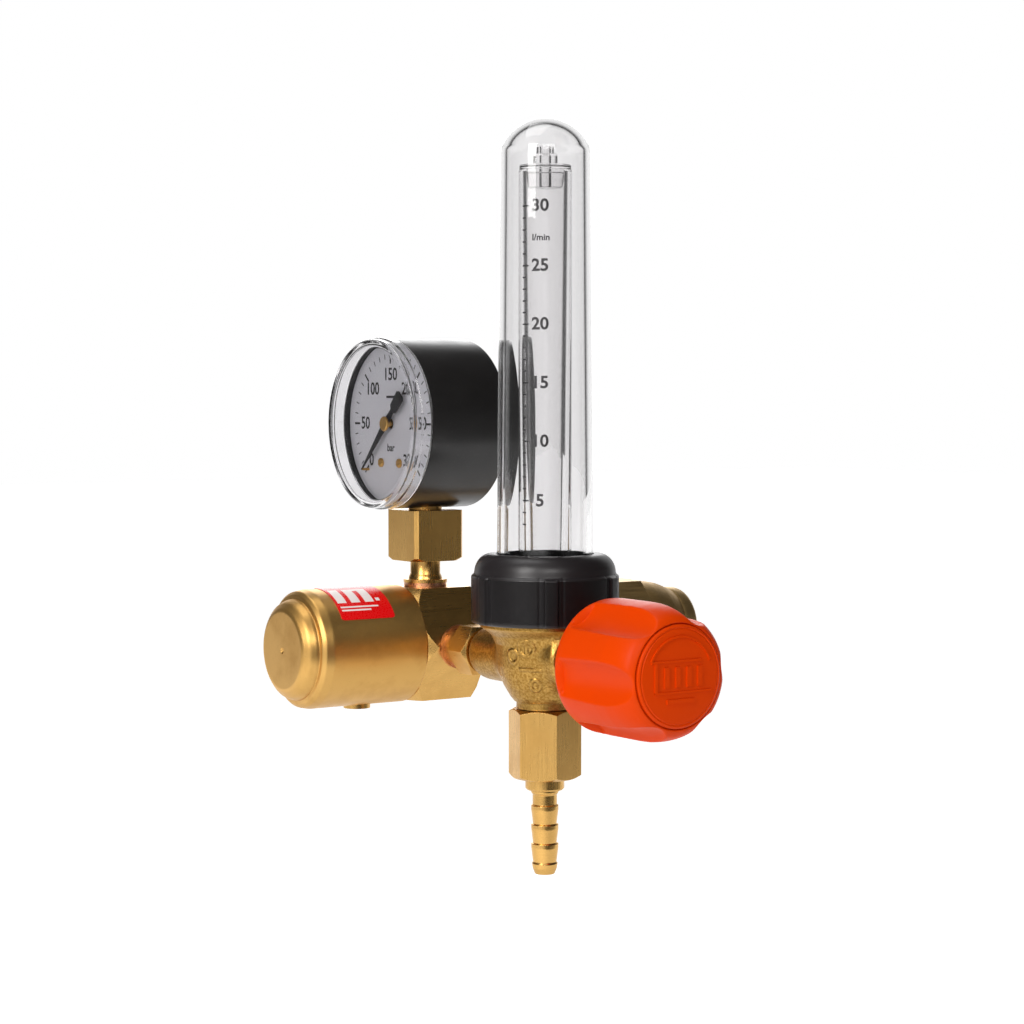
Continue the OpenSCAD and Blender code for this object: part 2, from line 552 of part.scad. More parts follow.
// ---- outlet ----
module hose_nut() color(brass) at_flow() difference() {
  union() {
    hex_bar(hose_af, nut_z1, nut_z0, hose_af / 2 - 0.2, 13.8);
    zturn([[nut_z1 - 3.4, 0], [nut_z1 - 3.4, 5.1], [nut_z1 - 2.9, 5.5], [nut_z1 + 1, 5.5], [nut_z1 + 1, 0]]);
  }
  zcyl(6.4 + 0.08, -27, nut_z0 + 1);
  zcyl(3.98, nut_z1 - 5, -26);
}
module hose_tail() color(brass) at_flow() difference() {
  barb = barb_d / 2;
  zturn(concat([[-23, 0], [-23, 6.1], [-26.4, 6.1], [-26.8, 3.9], [-37, 3.9], [-37.6, 3.45], [-40.4, 3.45]],
    [for (z = [-40.6, -46, -51.4]) each [[z, barb], [z - 1.2, barb], [z - 5.2, 3.35]]],
    [[-57, barb - 0.2], [-58.4, barb - 0.4], [tail_z, 2.8], [tail_z, 0]]));
  zcyl(2.1, tail_z - 1, -22);
}

body_block();
bonnet();
label();
vent_plug();
bonnet_seal();
piston();
piston_seal();
stem_seal();
seat_pad();
main_spring();
spring_shim();
nozzle();
nozzle_seal();
inlet_stem();
inlet_filter();
inlet_gasket();
inlet_nut();
gauge_socket();
gauge_gasket();
gauge_case();
gauge_window();
gauge_dial();
dial_screws();
stop_pin();
pointer();
pointer_arbor();
sector_gear();
movement_frame();
bourdon_tube();
tip_link();
outlet_fitting();
fitting_gasket();
flow_body();
collar_nut();
outer_tube();
metering_tube();
float_ball();
float_stops();
tube_seals();
valve_gland();
valve_spindle();
spindle_seal();
knob();
knob_cap();
knob_screw();
hose_nut();
hose_tail();
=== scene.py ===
"""Gas regulator with cylinder gauge and flowmeter: surfaces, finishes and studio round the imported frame."""
import json
import math

import bmesh
import bpy
import numpy as np
from bpy.props import FloatProperty, FloatVectorProperty, IntProperty, PointerProperty
from bpy.types import Operator, Panel, PropertyGroup
from mathutils import Matrix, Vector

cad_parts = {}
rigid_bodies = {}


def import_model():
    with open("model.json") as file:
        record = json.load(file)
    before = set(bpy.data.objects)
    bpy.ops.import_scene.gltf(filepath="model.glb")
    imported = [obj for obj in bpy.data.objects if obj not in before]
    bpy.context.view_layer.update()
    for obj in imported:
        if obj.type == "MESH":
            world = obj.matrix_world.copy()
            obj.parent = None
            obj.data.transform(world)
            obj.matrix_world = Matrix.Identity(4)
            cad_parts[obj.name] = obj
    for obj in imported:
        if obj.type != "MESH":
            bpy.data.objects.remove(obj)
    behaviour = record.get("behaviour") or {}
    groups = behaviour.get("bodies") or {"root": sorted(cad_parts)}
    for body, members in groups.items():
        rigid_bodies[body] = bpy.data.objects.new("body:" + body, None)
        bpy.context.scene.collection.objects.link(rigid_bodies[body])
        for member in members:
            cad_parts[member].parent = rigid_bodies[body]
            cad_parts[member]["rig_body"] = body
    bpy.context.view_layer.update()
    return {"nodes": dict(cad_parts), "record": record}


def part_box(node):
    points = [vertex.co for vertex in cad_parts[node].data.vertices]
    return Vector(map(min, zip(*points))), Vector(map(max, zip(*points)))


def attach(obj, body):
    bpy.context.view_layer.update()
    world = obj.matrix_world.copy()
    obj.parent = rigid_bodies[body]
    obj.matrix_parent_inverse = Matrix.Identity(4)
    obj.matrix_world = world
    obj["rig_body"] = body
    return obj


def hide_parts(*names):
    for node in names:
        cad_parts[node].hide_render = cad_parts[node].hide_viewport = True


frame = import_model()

bl_info = {
    "name": "Gas Regulator",
    "version": (1, 0, 0),
    "blender": (4, 5, 0),
    "location": "View3D > Sidebar > Gas Regulator",
    "description": "Builds the regulator's visible surfaces, finishes and studio",
    "category": "Object",
}

MM = 0.001
NODES = frame["nodes"]
SLOT_OF = {s["node"]: s["material_slot"] for s in frame["record"]["subparts"]}
MERGE_DISTANCE = 2e-6         # vertices nearer than this are one, in metres
CREASE = math.radians(28)     # edges sharper than this are broken


def middle(node):
    """Middle of a node's box, in millimetres."""
    low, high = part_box(node)
    return np.array((low + high) / 2) / MM


# Axes of the regulator, in millimetres, from the frame's own nodes
GAUGE = np.array([middle("gauge_socket")[0], 0.0, middle("gauge_case")[2]])
FLOW = np.array([middle("hose_tail")[0], middle("hose_tail")[1], 0.0])
VALVE = np.array([FLOW[0], 0.0, middle("valve_spindle")[2]])
BODY = np.array([GAUGE[0], 0.0, 0.0])


def colour(name, description, value):
    """Colour the user may change."""
    return FloatVectorProperty(name=name, description=description, subtype="COLOR", default=value)


class RegulatorSizes(PropertyGroup):
    """Sizes and colours a user may change"""
    edge_scale: FloatProperty(name="Broken edges", description="Scale of the broken edges on machined brass",
                              default=1.0, min=0.1)
    fineness: FloatProperty(name="Fineness", description="Scale of the number of sides of turned parts",
                            default=1.0, min=0.2)
    print_height: FloatProperty(name="Print height", description="Thickness of printed marks",
                                default=0.00004, unit="LENGTH")
    flute_depth: FloatProperty(name="Flute depth", description="Depth of the knob's flutes",
                               default=0.0023, unit="LENGTH")
    brass: colour("Brass", "Colour of bright brass", (0.68, 0.400, 0.122))
    orange: colour("Knob", "Colour of the knob's plastic", (0.72, 0.050, 0.0))
    red: colour("Label", "Colour of the label", (0.80, 0.003, 0.004))
    enamel: colour("Gauge case", "Colour of the gauge case's enamel", (0.010, 0.009, 0.009))
    dial: colour("Dial", "Colour of the dial", (0.90, 0.90, 0.95))


def sizes():
    """The sizes and colours now set in the panel."""
    return bpy.context.scene.regulator_sizes


# ---- meshes ----

def quads(rows, columns, wrap_rows=False, wrap_columns=True):
    """Faces of a grid of rows x columns points, each point joined to the next along and across."""
    i = np.arange(rows if wrap_rows else rows - 1)
    j = np.arange(columns if wrap_columns else columns - 1)
    i, j = np.meshgrid(i, j, indexing="ij")
    down, right = (i + 1) % rows, (j + 1) % columns
    return np.stack([i * columns + j, i * columns + right, down * columns + right, down * columns + j],
                    -1).reshape(-1, 4)


def settled(name, mesh, node, finish, stands_for):
    """Object of a mesh, on a node's body and in its slot, standing for some nodes."""
    made = bpy.data.objects.new(name, mesh)
    bpy.context.scene.collection.objects.link(made)
    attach(made, NODES[node]["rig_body"])
    if stands_for:
        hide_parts(*stands_for)
    finish_with(made, finish or SLOT_OF[node])
    return made


def piece(name, parts, node, sharp, finish=None, stands_for=None):
    """One mesh from (points in millimetres, faces) parts, placed in the frame, riding on a node's body.
    Doubles are merged, normals turned outwards, and edges sharper than an angle in degrees stay crisp."""
    offset, points, faces = 0, [], []
    for part_points, part_faces in parts:
        part_points = np.asarray(part_points, float).reshape(-1, 3)
        points.append(part_points)
        faces.extend((np.asarray(part_faces) + offset).tolist())
        offset += len(part_points)
    mesh = bpy.data.meshes.new(name)
    mesh.from_pydata((np.concatenate(points) * MM).tolist(), [], faces)
    work = bmesh.new()
    work.from_mesh(mesh)
    bmesh.ops.remove_doubles(work, verts=work.verts, dist=MERGE_DISTANCE)
    bmesh.ops.dissolve_degenerate(work, edges=work.edges, dist=MERGE_DISTANCE / 4)
    bmesh.ops.recalc_face_normals(work, faces=work.faces)
    work.to_mesh(mesh)
    work.free()
    mesh.shade_smooth()
    mesh.set_sharp_from_angle(angle=math.radians(sharp))
    settled(name, mesh, node, finish, [node] if stands_for is None else stands_for)


def eased(corners, steps):
    """Profile of (along, radius, ease) corners: each corner is cut back by its ease and joined by a curve
    p = (1-t)^2 a + 2t(1-t) corner + t^2 b, with a holding point just outside each end."""
    corners = np.asarray(corners, float)
    out = []
    for before, here, after in zip(np.roll(corners, 1, 0), corners, np.roll(corners, -1, 0)):
        back, ahead = before[:2] - here[:2], after[:2] - here[:2]
        lengths = np.linalg.norm(back), np.linalg.norm(ahead)
        cut = min(here[2], 0.36 * lengths[0], 0.36 * lengths[1])
        if cut <= 0:
            out.append(here[:2][None])
            continue
        a, b = here[:2] + back / lengths[0] * cut, here[:2] + ahead / lengths[1] * cut
        t = np.linspace(0, 1, steps + 1)[:, None]
        curve = (1 - t) ** 2 * a + 2 * t * (1 - t) * here[:2] + t ** 2 * b
        hold = 0.3 * cut
        out.append(np.vstack([a + back / lengths[0] * hold, curve, b + ahead / lengths[1] * hold]))
    return np.vstack(out)


TURNS = {
    "x": ((1, 0, 0), (0, 0, 1), (0, -1, 0)),
    "y": ((0, -1, 0), (0, 0, 1), (1, 0, 0)),
    "z": ((0, 0, 1), (1, 0, 0), (0, 1, 0)),
}


def around(profile, axis, centre, sides, shaped=None):
    """Closed surface of a closed profile turned round an axis: point = centre + along * axis
    + reach * (cos t * up + sin t * side). shaped(along, reach, t) may move the points round the turn."""
    sides = round(sides * sizes().fineness)
    along_axis, up, side = (np.array(v, float) for v in TURNS[axis])
    t = np.linspace(0, 2 * np.pi, sides, endpoint=False)
    along = np.repeat(profile[:, :1], sides, 1)
    reach = np.repeat(profile[:, 1:2], sides, 1)
    if shaped is not None:
        along, reach = shaped(along, reach, t[None])
    points = (centre + along[..., None] * along_axis
              + (reach * np.cos(t))[..., None] * up + (reach * np.sin(t))[..., None] * side)
    return points, quads(len(profile), sides, wrap_rows=True)


def softened(node, width, finish):
    """A machined node's own shape with its edges broken: its triangles are merged, flats made whole, and a
    bevel of a width in millimetres is run along every edge sharper than the crease angle."""
    source = NODES[node].data
    points = np.zeros(len(source.vertices) * 3)
    source.vertices.foreach_get("co", points)
    corners = np.zeros(len(source.loops), int)
    source.loops.foreach_get("vertex_index", corners)
    mesh = bpy.data.meshes.new(node + "_surface")
    mesh.from_pydata(points.reshape(-1, 3).tolist(), [], corners.reshape(-1, 3).tolist())
    work = bmesh.new()
    work.from_mesh(mesh)
    bmesh.ops.remove_doubles(work, verts=work.verts, dist=MERGE_DISTANCE)
    bmesh.ops.dissolve_limit(work, angle_limit=math.radians(0.4), verts=work.verts, edges=work.edges)
    work.to_mesh(mesh)
    work.free()
    mesh.shade_smooth()
    mesh.set_sharp_from_angle(angle=CREASE)
    made = settled(node + "_surface", mesh, node, finish, [node])
    edge = made.modifiers.new("broken_edge", "BEVEL")
    edge.width = width * MM * sizes().edge_scale
    edge.segments = 2
    edge.limit_method = "ANGLE"
    edge.angle_limit = CREASE
    edge.harden_normals = True
    edge.use_clamp_overlap = True


def lettering(words, height, place, bold):
    """Raised print: each word's outline is filled, thickened, and carried through place(across, up, out),
    which returns frame points in millimetres. bold is the share of its height that a letter swells by."""
    parts, rise = [], sizes().print_height / MM
    for word, (across, up), size in words:
        curve = bpy.data.curves.new("print", "FONT")
        curve.body = word
        curve.size = size * height
        curve.extrude = rise / 2
        curve.offset = bold * size * height
        curve.resolution_u = 3
        curve.align_x, curve.align_y = "CENTER", "CENTER"
        holder = bpy.data.objects.new("print", curve)
        bpy.context.scene.collection.objects.link(holder)
        bpy.context.view_layer.update()
        evaluated = holder.evaluated_get(bpy.context.evaluated_depsgraph_get())
        mesh = bpy.data.meshes.new_from_object(evaluated)
        mesh.calc_loop_triangles()
        points = np.zeros(len(mesh.vertices) * 3)
        mesh.vertices.foreach_get("co", points)
        points = points.reshape(-1, 3)
        faces = np.zeros(len(mesh.loop_triangles) * 3, int)
        mesh.loop_triangles.foreach_get("vertices", faces)
        parts.append((place(points[:, 0] + across, points[:, 1] + up, points[:, 2]), faces.reshape(-1, 3)))
        bpy.data.objects.remove(holder)
        bpy.data.curves.remove(curve)
        bpy.data.meshes.remove(mesh)
    return parts


def bar(across, up, wide, high, place, turn=0.0, rise=None, cuts=1):
    """A printed bar, wide x high about a point, turned by an angle, and cut into lengths so that it follows
    curved ground; carried through place()."""
    rise = sizes().print_height / MM if rise is None else rise
    x, y, z = np.meshgrid([-wide / 2, wide / 2], np.linspace(-high / 2, high / 2, cuts + 1),
                          [-rise / 2, rise / 2], indexing="ij")
    c, s = math.cos(turn), math.sin(turn)
    at = np.arange(x.size).reshape(x.shape)
    loop = np.stack([at[0, :, 0], at[0, :, 1], at[1, :, 1], at[1, :, 0]], -1)
    sides = quads(cuts + 1, 4)
    faces = np.vstack([loop.ravel()[sides], loop[0], loop[-1, ::-1]])
    return place(across + (x * c - y * s).ravel(), up + (x * s + y * c).ravel(), z.ravel()), faces


# ---- finishes ----

class Finish:
    """A node material under construction."""

    def __init__(self, name, colour=(0.8, 0.8, 0.8), **values):
        self.material = bpy.data.materials.new(name)
        self.material.use_nodes = True
        self.tree = self.material.node_tree
        self.shader = self.tree.nodes["Principled BSDF"]
        self.shader.inputs["Base Color"].default_value = (*colour, 1)
        for key, value in values.items():
            self.shader.inputs[key.replace("_", " ")].default_value = value
        self.place = self.tree.nodes.new("ShaderNodeTexCoord").outputs["Object"]

    def node(self, kind, inputs=(), **settings):
        """New shader node; inputs are values or other nodes' outputs."""
        made = self.tree.nodes.new("ShaderNode" + kind)
        for key, value in settings.items():
            setattr(made, key, value)
        for key, value in dict(inputs).items():
            self.put(value, made.inputs[key])
        return made

    def put(self, value, socket):
        """Joins an output to a socket, or sets the socket to a value."""
        if isinstance(value, bpy.types.NodeSocket):
            self.tree.links.new(value, socket)
        else:
            socket.default_value = value

    def moved(self, centre=(0, 0, 0), stretch=(1, 1, 1)):
        """Object coordinates from a centre in millimetres, scaled per axis."""
        shift = self.node("VectorMath", {0: self.place, 1: [c * MM for c in centre]}, operation="SUBTRACT")
        return self.node("VectorMath", {0: shift.outputs[0], 1: stretch}, operation="MULTIPLY").outputs[0]

    def noise(self, scale, detail=3.0, rough=0.5, vector=None):
        """Noise with so many waves to the metre."""
        return self.node("TexNoise", {"Scale": scale, "Detail": detail, "Roughness": rough,
                                      "Vector": vector or self.place}).outputs["Fac"]

    def times(self, a, b):
        return self.node("Math", {0: a, 1: b}, operation="MULTIPLY").outputs[0]

    def plus(self, a, b):
        return self.node("Math", {0: a, 1: b}, operation="ADD").outputs[0]

    def pointiness(self):
        """Over a half on raised edges, under a half in hollows."""
        return self.node("NewGeometry").outputs["Pointiness"]

    def span(self, value, low, high, to_low=0.0, to_high=1.0):
        """Value carried in a straight line from low..high to to_low..to_high, and held at the ends."""
        return self.node("MapRange", {"Value": value, "From Min": low, "From Max": high,
                                      "To Min": to_low, "To Max": to_high}).outputs["Result"]

    def blend(self, share, a, b):
        """Colour a, going over to colour b as the share goes from nought to one."""
        mixed = self.node("Mix", data_type="RGBA")
        self.put(share, mixed.inputs[0])
        for value, socket in ((a, mixed.inputs[6]), (b, mixed.inputs[7])):
            self.put(value if isinstance(value, bpy.types.NodeSocket) else (*value, 1), socket)
        return mixed.outputs[2]

    def bump(self, height, strength, distance, before=None):
        """Bump whose distance is in millimetres, on top of the bump before it."""
        inputs = {"Height": height, "Strength": strength, "Distance": distance * MM}
        if before is not None:
            inputs["Normal"] = before
        return self.node("Bump", inputs).outputs[0]

    def end(self, colour, rough, normal):
        for key, value in (("Base Color", colour), ("Roughness", rough), ("Normal", normal)):
            self.put(value, self.shader.inputs[key])
        return self.material


def tinted(colour, factor):
    """Colour times one factor, or times a factor for each channel, kept at or under one."""
    return [min(1, c * float(k)) for c, k in zip(colour, np.broadcast_to(factor, 3))]


AXIS_STRETCH = {"x": (0.03, 1, 1), "y": (1, 0.03, 1), "z": (1, 1, 0.03)}


def drawn_brass(name, axis, colour, rough=0.27, tarnish=0.5):
    """Milled or drawn bar: fine lines along the axis, soft stains, and brighter rubbed edges."""
    f = Finish(name, colour, Metallic=1.0)
    lines = f.noise(2600, 2, 0.6, f.moved(stretch=AXIS_STRETCH[axis]))
    fine = f.noise(9000, 1, 0.5, f.moved(stretch=AXIS_STRETCH[axis]))
    stain = f.span(f.noise(95, 5, 0.62), 0.42, 0.68)
    specks = f.span(f.noise(1400, 3, 0.7), 0.60, 0.72)
    bright = tinted(colour, 1.12)
    base = f.blend(f.times(stain, tarnish), colour, tinted(colour, (0.62, 0.55, 0.42)))
    base = f.blend(f.times(specks, 0.12), base, tinted(colour, 0.45))
    base = f.blend(f.span(lines, 0.35, 0.65, 0.0, 0.16), base, bright)
    worn = f.span(f.pointiness(), 0.515, 0.56, 0.0, 0.7)
    base = f.blend(worn, base, bright)
    roughness = f.plus(f.span(lines, 0.3, 0.7, rough - 0.05, rough + 0.07), f.times(stain, 0.09))
    dents = f.bump(f.noise(210, 3, 0.5), 0.25, 0.05)
    marks = f.bump(lines, 0.16, 0.006, dents)
    return f.end(base, roughness, f.bump(fine, 0.2, 0.004, marks))


def turned_brass(name, axis, centre, colour, rough, tarnish=0.25):
    """Lathe finish: a noise of the distance along the axis plus 1.37 times the radius, so rings run round the
    barrel and in circles over the ends; soft stains and small knocks over it."""
    rings = 0.35
    f = Finish(name, colour, Metallic=1.0, Anisotropic=0.3)
    spread = {"x": (1, 0, 0), "y": (0, 1, 0), "z": (0, 0, 1)}[axis]
    flat = f.moved(centre, [1 - s for s in spread])
    across = f.node("VectorMath", {0: flat}, operation="LENGTH").outputs["Value"]
    along = f.node("VectorMath", {0: f.moved(centre), 1: spread}, operation="DOT_PRODUCT").outputs["Value"]
    line = f.node("CombineXYZ", {"X": f.plus(along, f.times(across, 1.37))}).outputs[0]
    coarse, fine = f.noise(1500, 2, 0.6, line), f.noise(6500, 2, 0.6, line)
    stain = f.span(f.noise(80, 5, 0.6), 0.44, 0.70)
    specks = f.span(f.noise(1100, 3, 0.7), 0.62, 0.74)
    base = f.blend(f.times(stain, tarnish), colour, tinted(colour, (0.66, 0.58, 0.45)))
    base = f.blend(f.times(specks, 0.2), base, tinted(colour, 0.5))
    roughness = f.plus(f.span(fine, 0.3, 0.7, rough - 0.05, rough + 0.06), f.times(stain, 0.08))
    knocks = f.bump(f.noise(260, 2, 0.5), 0.18, 0.03)
    marks = f.bump(coarse, rings * 0.6, 0.010, knocks)
    return f.end(base, roughness, f.bump(fine, rings, 0.005, marks))


def forged_brass(name, colour):
    """Blasted forging: pitted sandy skin, darker in its hollows, rubbed bright on its high places."""
    f = Finish(name, colour, Metallic=1.0)
    sand = f.noise(1500, 4, 0.65)
    lumps = f.noise(330, 3, 0.55)
    pits = f.node("TexVoronoi", {"Scale": 1300, "Vector": f.place}).outputs["Distance"]
    hollow = f.span(f.pointiness(), 0.44, 0.50, 1.0, 0.0)
    proud = f.span(f.pointiness(), 0.51, 0.57, 0.0, 0.8)
    base = f.blend(f.span(sand, 0.40, 0.60, 0.0, 0.9), colour, tinted(colour, (0.60, 0.52, 0.36)))
    base = f.blend(f.times(hollow, 0.6), base, tinted(colour, 0.40))
    base = f.blend(proud, base, tinted(colour, 1.15))
    rough = f.span(f.plus(sand, f.times(lumps, 0.5)), 0.5, 1.0, 0.26, 0.50)
    normal = f.bump(lumps, 0.5, 0.10)
    normal = f.bump(sand, 0.9, 0.08, normal)
    return f.end(base, rough, f.bump(pits, 0.5, 0.04, normal))


def plastic(name, colour, rough, grain, tint, scale, shine=0.5):
    """Moulded plastic: a fine grain, faint flow clouds in its colour, and an uneven gloss."""
    f = Finish(name, colour, Specular_IOR_Level=shine)
    clouds = f.noise(60, 4, 0.55)
    fine = f.noise(scale, 3, 0.55)
    base = f.blend(f.span(clouds, 0.35, 0.7, 0.0, tint), colour, [c * 0.62 + 0.004 for c in colour])
    gloss = f.span(clouds, 0.3, 0.7, rough - 0.04, rough + 0.05)
    roughness = f.plus(gloss, f.span(fine, 0.4, 0.7, 0.0, 0.05))
    waves = f.bump(f.noise(160, 2, 0.5), 0.25, 0.05)
    return f.end(base, roughness, f.bump(fine, grain, 0.012, waves))


def enamel(name, colour):
    """Stoved enamel: orange peel, dust specks and a slightly uneven sheen."""
    f = Finish(name, colour, Coat_Weight=0.25, Coat_Roughness=0.18)
    peel = f.noise(900, 2, 0.5)
    dust = f.span(f.noise(2600, 2, 0.6), 0.66, 0.74)
    base = f.blend(f.times(dust, 0.35), colour, (0.10, 0.095, 0.09))
    rough = f.span(f.noise(120, 4, 0.6), 0.35, 0.65, 0.30, 0.40)
    return f.end(base, rough, f.bump(peel, 0.22, 0.02))


ACRYLIC_IOR = 1.49


def clear(name, tint, rough, haze, axis):
    """Clear moulded plastic with faint drawn streaks and a light haze of scuffs."""
    f = Finish(name, (0.985, 0.985, 0.985), Transmission_Weight=1.0, IOR=ACRYLIC_IOR)
    streaks = f.noise(420, 2, 0.5, f.moved(stretch=AXIS_STRETCH[axis]))
    scuffs = f.span(f.noise(900, 4, 0.7), 0.60, 0.75)
    colour = f.blend(f.span(streaks, 0.35, 0.7, 0.0, 0.3), tint, tinted(tint, 0.955))
    roughness = f.plus(rough, f.times(scuffs, haze))
    return f.end(colour, roughness, f.bump(streaks, 0.12, 0.02))


def printed(name, colour, rough):
    """Ink or paint: an even colour with a slightly broken film."""
    f = Finish(name, colour)
    film = f.noise(2200, 2, 0.6)
    return f.end(f.blend(f.span(film, 0.5, 0.75, 0.0, 0.25), colour, [c * 0.8 + 0.02 for c in colour]),
                 f.span(film, 0.3, 0.7, rough - 0.05, rough + 0.08), f.bump(film, 0.1, 0.004))


def metal(name, colour, rough, scale=900, depth=0.01):
    """Plain metal with a fine even grain and light stains."""
    f = Finish(name, colour, Metallic=1.0)
    grain, stain = f.noise(scale, 3, 0.6), f.span(f.noise(150, 4, 0.6), 0.45, 0.7)
    base = f.blend(f.times(stain, 0.4), colour, tinted(colour, 0.6))
    return f.end(base, f.span(grain, 0.3, 0.7, rough - 0.06, rough + 0.1), f.bump(grain, 0.4, depth))


FINISHES = {}


def make_finishes():
    """Makes every finish, and puts each on the frame's nodes of its slot."""
    s = sizes()
    brass = tuple(s.brass)
    table = (
        (drawn_brass, "machined_brass", "x", brass),
        (drawn_brass, "machined_brass_y", "y", brass, 0.26),
        (drawn_brass, "machined_brass_z", "z", brass, 0.25),
        (turned_brass, "turned_brass", "z", FLOW, brass, 0.24),
        (turned_brass, "turned_brass_x", "x", BODY, brass, 0.38, 0.5),
        (drawn_brass, "dull_brass", "x", (0.60, 0.405, 0.17), 0.40, 0.7),
        (forged_brass, "forged_brass", (0.50, 0.295, 0.08)),
        (metal, "copper", (0.80, 0.42, 0.26), 0.3),
        (metal, "sintered_bronze", (0.55, 0.40, 0.20), 0.55, 2400, 0.08),
        (enamel, "black_paint", tuple(s.enamel)),
        (plastic, "black_plastic", (0.014, 0.011, 0.012), 0.34, 0.5, 0.3, 1100),
        (plastic, "orange_plastic", tuple(s.orange), 0.36, 0.25, 0.10, 1300, 0.08),
        (printed, "black_pointer", (0.012, 0.011, 0.011), 0.35),
        (printed, "white_dial", tuple(s.dial), 0.5),
        (printed, "red_label", tuple(s.red), 0.28),
        (printed, "label_white", (0.90, 0.82, 0.80), 0.35),
        (printed, "ink", (0.03, 0.026, 0.028), 0.5),
        (printed, "scale_ink", (0.05, 0.045, 0.05), 0.5),
        (clear, "clear_window", (0.968, 0.960, 0.972), 0.02, 0.08, "x"),
        (clear, "clear_tube", (0.966, 0.960, 0.963), 0.012, 0.06, "z"),
        (plastic, "white_nylon", (0.72, 0.70, 0.66), 0.4, 0.3, 0.1, 900),
        (plastic, "black_rubber", (0.020, 0.020, 0.021), 0.6, 0.5, 0.3, 1700),
        (metal, "float_steel", (0.30, 0.30, 0.31), 0.2),
        (metal, "spring_steel", (0.55, 0.55, 0.56), 0.28, 700),
    )
    for maker, name, *settings in table:
        FINISHES[name] = maker(name, *settings)
    for node, made in NODES.items():
        finish_with(made, SLOT_OF[node])


def finish_with(made, name):
    """Gives an object one finish and no other."""
    made.data.materials.clear()
    made.data.materials.append(FINISHES[name])


# ---- regulator ----

def build_bonnet():
    """Spring housing: its profile in eased corners, turned round the body axis, with its bore and step."""
    corners = [
        (-49.0, 0, 0), (-49.0, 11.35, 0.5), (-48.7, 12.2, 0.6), (-47.4, 13.9, 1.0), (-45.6, 14.7, 0.5),
        (-44.7, 14.85, 0.2), (-44.5, 16.0, 0.25), (-43.6, 17.0, 0.35), (-41.2, 17.5, 0.4),
        (-10.15, 17.5, 0.25), (-9.8, 17.2, 0.1), (-9.8, 13.0, 0), (-45.0, 13.0, 0.3), (-45.0, 0, 0)]
    profile = eased(corners, 5)

    def dimple(along, reach, t):
        """The lathe centre's mark in the closed end: a small cone sunk at the axis."""
        sunk = np.where(along < -48.9, 0.7 * np.clip(1 - reach / 0.95, 0, 1), 0.0)
        return along + sunk, reach

    face = np.array([[-49.0, r] for r in (0.0, 0.3, 0.6, 0.95, 1.1, 4.0, 8.0)])
    profile = np.vstack([face, profile[1:]])
    piece("bonnet_turned", [around(profile, "x", BODY, 180, dimple)], "bonnet", 35, "turned_brass_x")


BONNET_RADIUS = 17.5
LABEL_MIDDLE = -28.4               # along the bonnet, from the gauge's axis
LABEL_TURN = math.radians(25)      # round the bonnet, from its top towards -Y


def on_barrel(radius):
    """Print on the bonnet: across runs along its axis, up runs round it from the label's middle, and
    angle = the label's turn - up / the bonnet's radius."""
    def place(across, up, out):
        angle = LABEL_TURN - up / BONNET_RADIUS
        reach = radius + out
        along = BODY[0] + LABEL_MIDDLE + across
        return np.stack([along, -reach * np.sin(angle), reach * np.cos(angle)], -1)
    return place


def build_label():
    """Thin label wrapped on the bonnet: a grid in (across, round) with rounded corners, given a thickness.
    A corner draws a row's ends in by r (1 - sqrt(1 - o^2)), o being how far the row is into the corner."""
    wide, high, corner, cells = 17.8, 20.0, 0.8, 41
    u, v = np.meshgrid(np.linspace(-1, 1, cells), np.linspace(-1, 1, cells), indexing="ij")
    over = np.clip((np.abs(v) * high / 2 - (high / 2 - corner)) / corner, 0, 1)
    inset = corner * (1 - np.sqrt(np.clip(1 - over ** 2, 0, 1)))
    across = u * (wide / 2 - inset)
    place = on_barrel(0.0)
    layers = []
    for radius in (17.52, 17.64):
        layers.append(place(across.ravel(), (v * high / 2).ravel(), np.full(u.size, radius)))
    sheet = quads(cells, cells, wrap_columns=False)
    count = u.size
    index = np.arange(count).reshape(cells, cells)
    rim = np.concatenate([index[:, 0], index[-1, 1:], index[-2::-1, -1], index[0, -2:0:-1]])
    after = np.roll(rim, -1)
    walls = np.stack([rim, after, after + count, rim + count], -1)
    faces = np.vstack([sheet[:, ::-1], sheet + count, walls])
    piece("label_film", [(np.vstack(layers), faces)], "label", 40)
    ink = on_barrel(17.665)
    marks = [bar(-6.6 + 4.6 * k, -0.2, 3.0, 7.4, ink, cuts=10) for k in range(3)]
    marks += [bar(1.2, 2.9, 4.6, 1.3, ink, cuts=2), bar(5.6, -2.9, 1.3, 1.3, ink)]
    marks += [bar(-1.6, -5.6, 12.6, 0.55, ink), bar(-3.0, -6.8, 9.8, 0.55, ink)]
    piece("label_print", marks, "label", 30, "label_white", stands_for=[])


# Node: width of its broken edges in millimetres, finish
MACHINED = {
    "body_block": (0.28, "machined_brass"), "vent_plug": (0.15, "turned_brass"),
    "inlet_nut": (0.35, "dull_brass"), "inlet_stem": (0.25, "turned_brass_x"),
    "gauge_socket": (0.22, "machined_brass_z"), "outlet_fitting": (0.2, "machined_brass_y"),
    "valve_gland": (0.2, "machined_brass_y"), "hose_nut": (0.22, "machined_brass_z"),
    "dial_screws": (0.12, "turned_brass_x"), "pointer_arbor": (0.06, "turned_brass_x"),
    "pointer": (0.05, "black_pointer"),
}


def build_machined():
    """Broken edges on every part that was milled or turned from bar."""
    for node, (width, finish) in MACHINED.items():
        softened(node, width, finish)


# ---- gauge ----

FULL_SCALE = 300


def dial_angle(value):
    """Angle of a dial value, clockwise from the top: -135 + 270 * value / full scale, in degrees."""
    return math.radians(-135 + 270 * value / FULL_SCALE)


